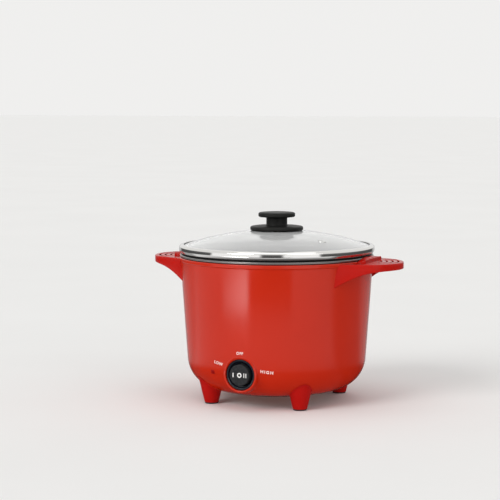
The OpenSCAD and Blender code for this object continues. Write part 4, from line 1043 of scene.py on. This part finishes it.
def words(name, text, size, spacing, x_mid, z_mid, lean):
    curve = bpy.data.curves.new(name, "FONT")
    curve.body = text
    curve.size = size * MM
    curve.align_x = "CENTER"
    curve.align_y = "CENTER"
    curve.resolution_u = 4
    curve.space_character = spacing
    curve.offset = 0.00014
    holder = new_object(name + "_text", curve)
    bpy.context.view_layer.update()
    graph = bpy.context.evaluated_depsgraph_get()
    flat = bpy.data.meshes.new_from_object(holder.evaluated_get(graph))
    bpy.data.objects.remove(holder)
    bm = bmesh.new()
    bm.from_mesh(flat)
    bpy.data.meshes.remove(flat)
    bmesh.ops.remove_doubles(bm, verts=bm.verts, dist=1e-7)
    bmesh.ops.subdivide_edges(bm, edges=[e for e in bm.edges if e.calc_length() > 0.0012], cuts=1)
    bmesh.ops.triangulate(bm, faces=bm.faces)
    whole = bmesh.ops.extrude_face_region(bm, geom=list(bm.faces))
    raised = {g for g in whole["geom"] if isinstance(g, bmesh.types.BMVert)}
    c, s = cos(radians(lean)), sin(radians(lean))
    for vert in bm.verts:
        u, v = vert.co.x / MM, vert.co.y / MM
        x, z = x_mid + u * c - v * s, z_mid + u * s + v * c
        r = OUTER.radius(z) + (0.12 if vert in raised else -0.1)
        vert.co = Vector((x, -sqrt(r * r - x * x), z)) * MM
    bmesh.ops.recalc_face_normals(bm, faces=bm.faces)
    piece = mesh_object(name, bm, [label_white])
    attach(piece, "housing")


words("word_top", "OFF", 4.8, 1.12, 0.0, 72.5, 0.0)
words("word_left", "LOW", 5.2, 1.15, -31.0, 58.0, -12.0)
words("word_right", "HIGH", 5.2, 1.35, 33.0, 50.5, -7.0)


# World and floor: a pale background for what is seen or mirrored, and a plainer light for the rest

world = bpy.data.worlds.new("world")
scene.world = world
world.use_nodes = True
tree = world.node_tree
tree.nodes.clear()
light = add_node(tree, "Background", Color=(1.0, 1.0, 1.0, 1), Strength=0.6)
shown = add_node(tree, "Background", Color=(0.87, 0.865, 0.855, 1), Strength=1.0)
path = add_node(tree, "LightPath")
seen = [path, "Is Camera Ray"]
for ray in ("Is Glossy Ray", "Is Transmission Ray"):
    most = add_node(tree, "Math")
    most.operation = "MAXIMUM"
    wire(*seen, most, 0)
    wire(path, ray, most, 1)
    seen = [most, 0]
mixed = add_node(tree, "MixShader", Fac=seen)
wire(light, 0, mixed, 1)
wire(shown, 0, mixed, 2)
add_node(tree, "OutputWorld", Surface=[mixed, 0])

bm = bmesh.new()
bmesh.ops.create_grid(bm, x_segments=8, y_segments=8, size=40.0)
floor_paint = surface("pale_floor", (0.88, 0.875, 0.86), 0.4, 0.01, 3, vary=0.02, specular=0.0)
floor = mesh_object("floor", bm, [floor_paint])
floor.location.z = -0.0002


# Lamps

def sun(name, left, height, strength, size):
    """A wide, soft sun at an angle to the left of the camera's direction and a height, in degrees."""
    lamp = new_object(name, bpy.data.lights.new(name, "SUN"))
    lamp.data.energy = strength
    lamp.data.angle = radians(size)
    towards = Vector(heading(AZIMUTH - radians(left), radians(height)))
    lamp.location = towards * 3.0
    lamp.rotation_mode = "QUATERNION"
    lamp.rotation_quaternion = towards.to_track_quat("Z", "Y")


sun("key", 46, 30, 1.24, 30)
sun("fill", -34, 20, 0.42, 44)
sun("top", 0, 88, 0.34, 50)

# Warm light that the pale floor throws about under the pot
lamp = new_object("under", bpy.data.lights.new("under", "AREA"))
lamp.data.shape = "DISK"
lamp.data.size = 0.13
lamp.data.energy = 0.0042
lamp.data.color = (1.0, 0.45, 0.38)
lamp.location = (0.0, 0.0, 0.0115)
lamp.visible_camera = False
lamp.visible_glossy = False


# Surroundings that only glossy surfaces mirror: pale, with darker parts and one bright strip

def soft_step(value, edge, width):
    t = clamp((value - edge) / width + 0.5)
    return t * t * (3 - 2 * t)


def between(value, low, high, width):
    return soft_step(value, low, width) * (1 - soft_step(value, high, width))


def surroundings(left, distance):
    """Brightness of the surroundings at an angle to the left of the camera's direction and a distance."""
    near = 0.78 - 0.6 * soft_step(-left, 66, 12) + 0.2 * soft_step(-left, 116, 14)
    near -= 0.38 * soft_step(left, 112, 10)
    near *= 0.1 + 0.9 * soft_step(distance, 0.26, 0.16)
    dark = between(left, -16, 31, 2)
    strip = 7.4 * clamp((66 - left) / 34) * between(left, 32, 66, 2) * (1 - soft_step(distance, 0.86, 0.2))
    middle = near * (1 - dark) + 0.03 * dark + strip
    far = 0.08 + between(left, -50, -7, 4) + between(left, 18, 80, 4) + 0.5 * soft_step(abs(left), 150, 12)
    first, second = soft_step(distance, 0.585, 0.07), soft_step(distance, 1.2, 0.3)
    return (near * (1 - first) + middle * first) * (1 - second) + far * second


# A wide disc with an upright rim: distance from the pot and height of its rings, and a shade at each point
SPOKES, RIM_AT, RIM_H, RIM_SHADE, DISC_Z = 180, 3.2, 0.6, 0.85, 0.001
bm = bmesh.new()
shade = bm.loops.layers.float_color.new("shade")
places = [(0.05 + 0.02 * i, DISC_Z) for i in range(59)] + [(1.25 + 0.25 * i, DISC_Z) for i in range(8)]
places += [(RIM_AT, height) for height in (0.06, 0.2, 0.4, RIM_H)]
rings = []
for distance, height in places:
    lift, ring = clamp(height / RIM_H), []
    for i in range(SPOKES):
        left = -360.0 * i / SPOKES
        x, y, _ = heading(AZIMUTH - radians(left))
        value = surroundings((180 + left) % 360 - 180, distance) * (1 - lift) + RIM_SHADE * lift
        ring.append((bm.verts.new((distance * x, distance * y, height)), value))
    rings.append(ring)
for a, b in zip(rings, rings[1:]):
    for i in range(SPOKES):
        j = (i + 1) % SPOKES
        corners = (a[i], b[i], b[j], a[j])
        face = bm.faces.new([vert for vert, value in corners])
        for loop, (vert, value) in zip(face.loops, corners):
            loop[shade] = (value, value, value, 1.0)
bm.normal_update()
glow, tree = new_material("surroundings")
tree.nodes.clear()
paint = add_node(tree, "Attribute")
paint.attribute_name = "shade"
pick = add_node(tree, "MixShader", Fac=[add_node(tree, "NewGeometry"), "Backfacing"])
wire(add_node(tree, "Emission", Color=[paint, "Color"]), 0, pick, 1)
wire(add_node(tree, "BsdfTransparent"), 0, pick, 2)
add_node(tree, "OutputMaterial", Surface=[pick, 0])
card = mesh_object("surroundings", bm, [glow])
card.visible_camera = False
card.visible_diffuse = False
card.visible_shadow = False
card.visible_transmission = False

scene.view_settings.view_transform = "Standard"
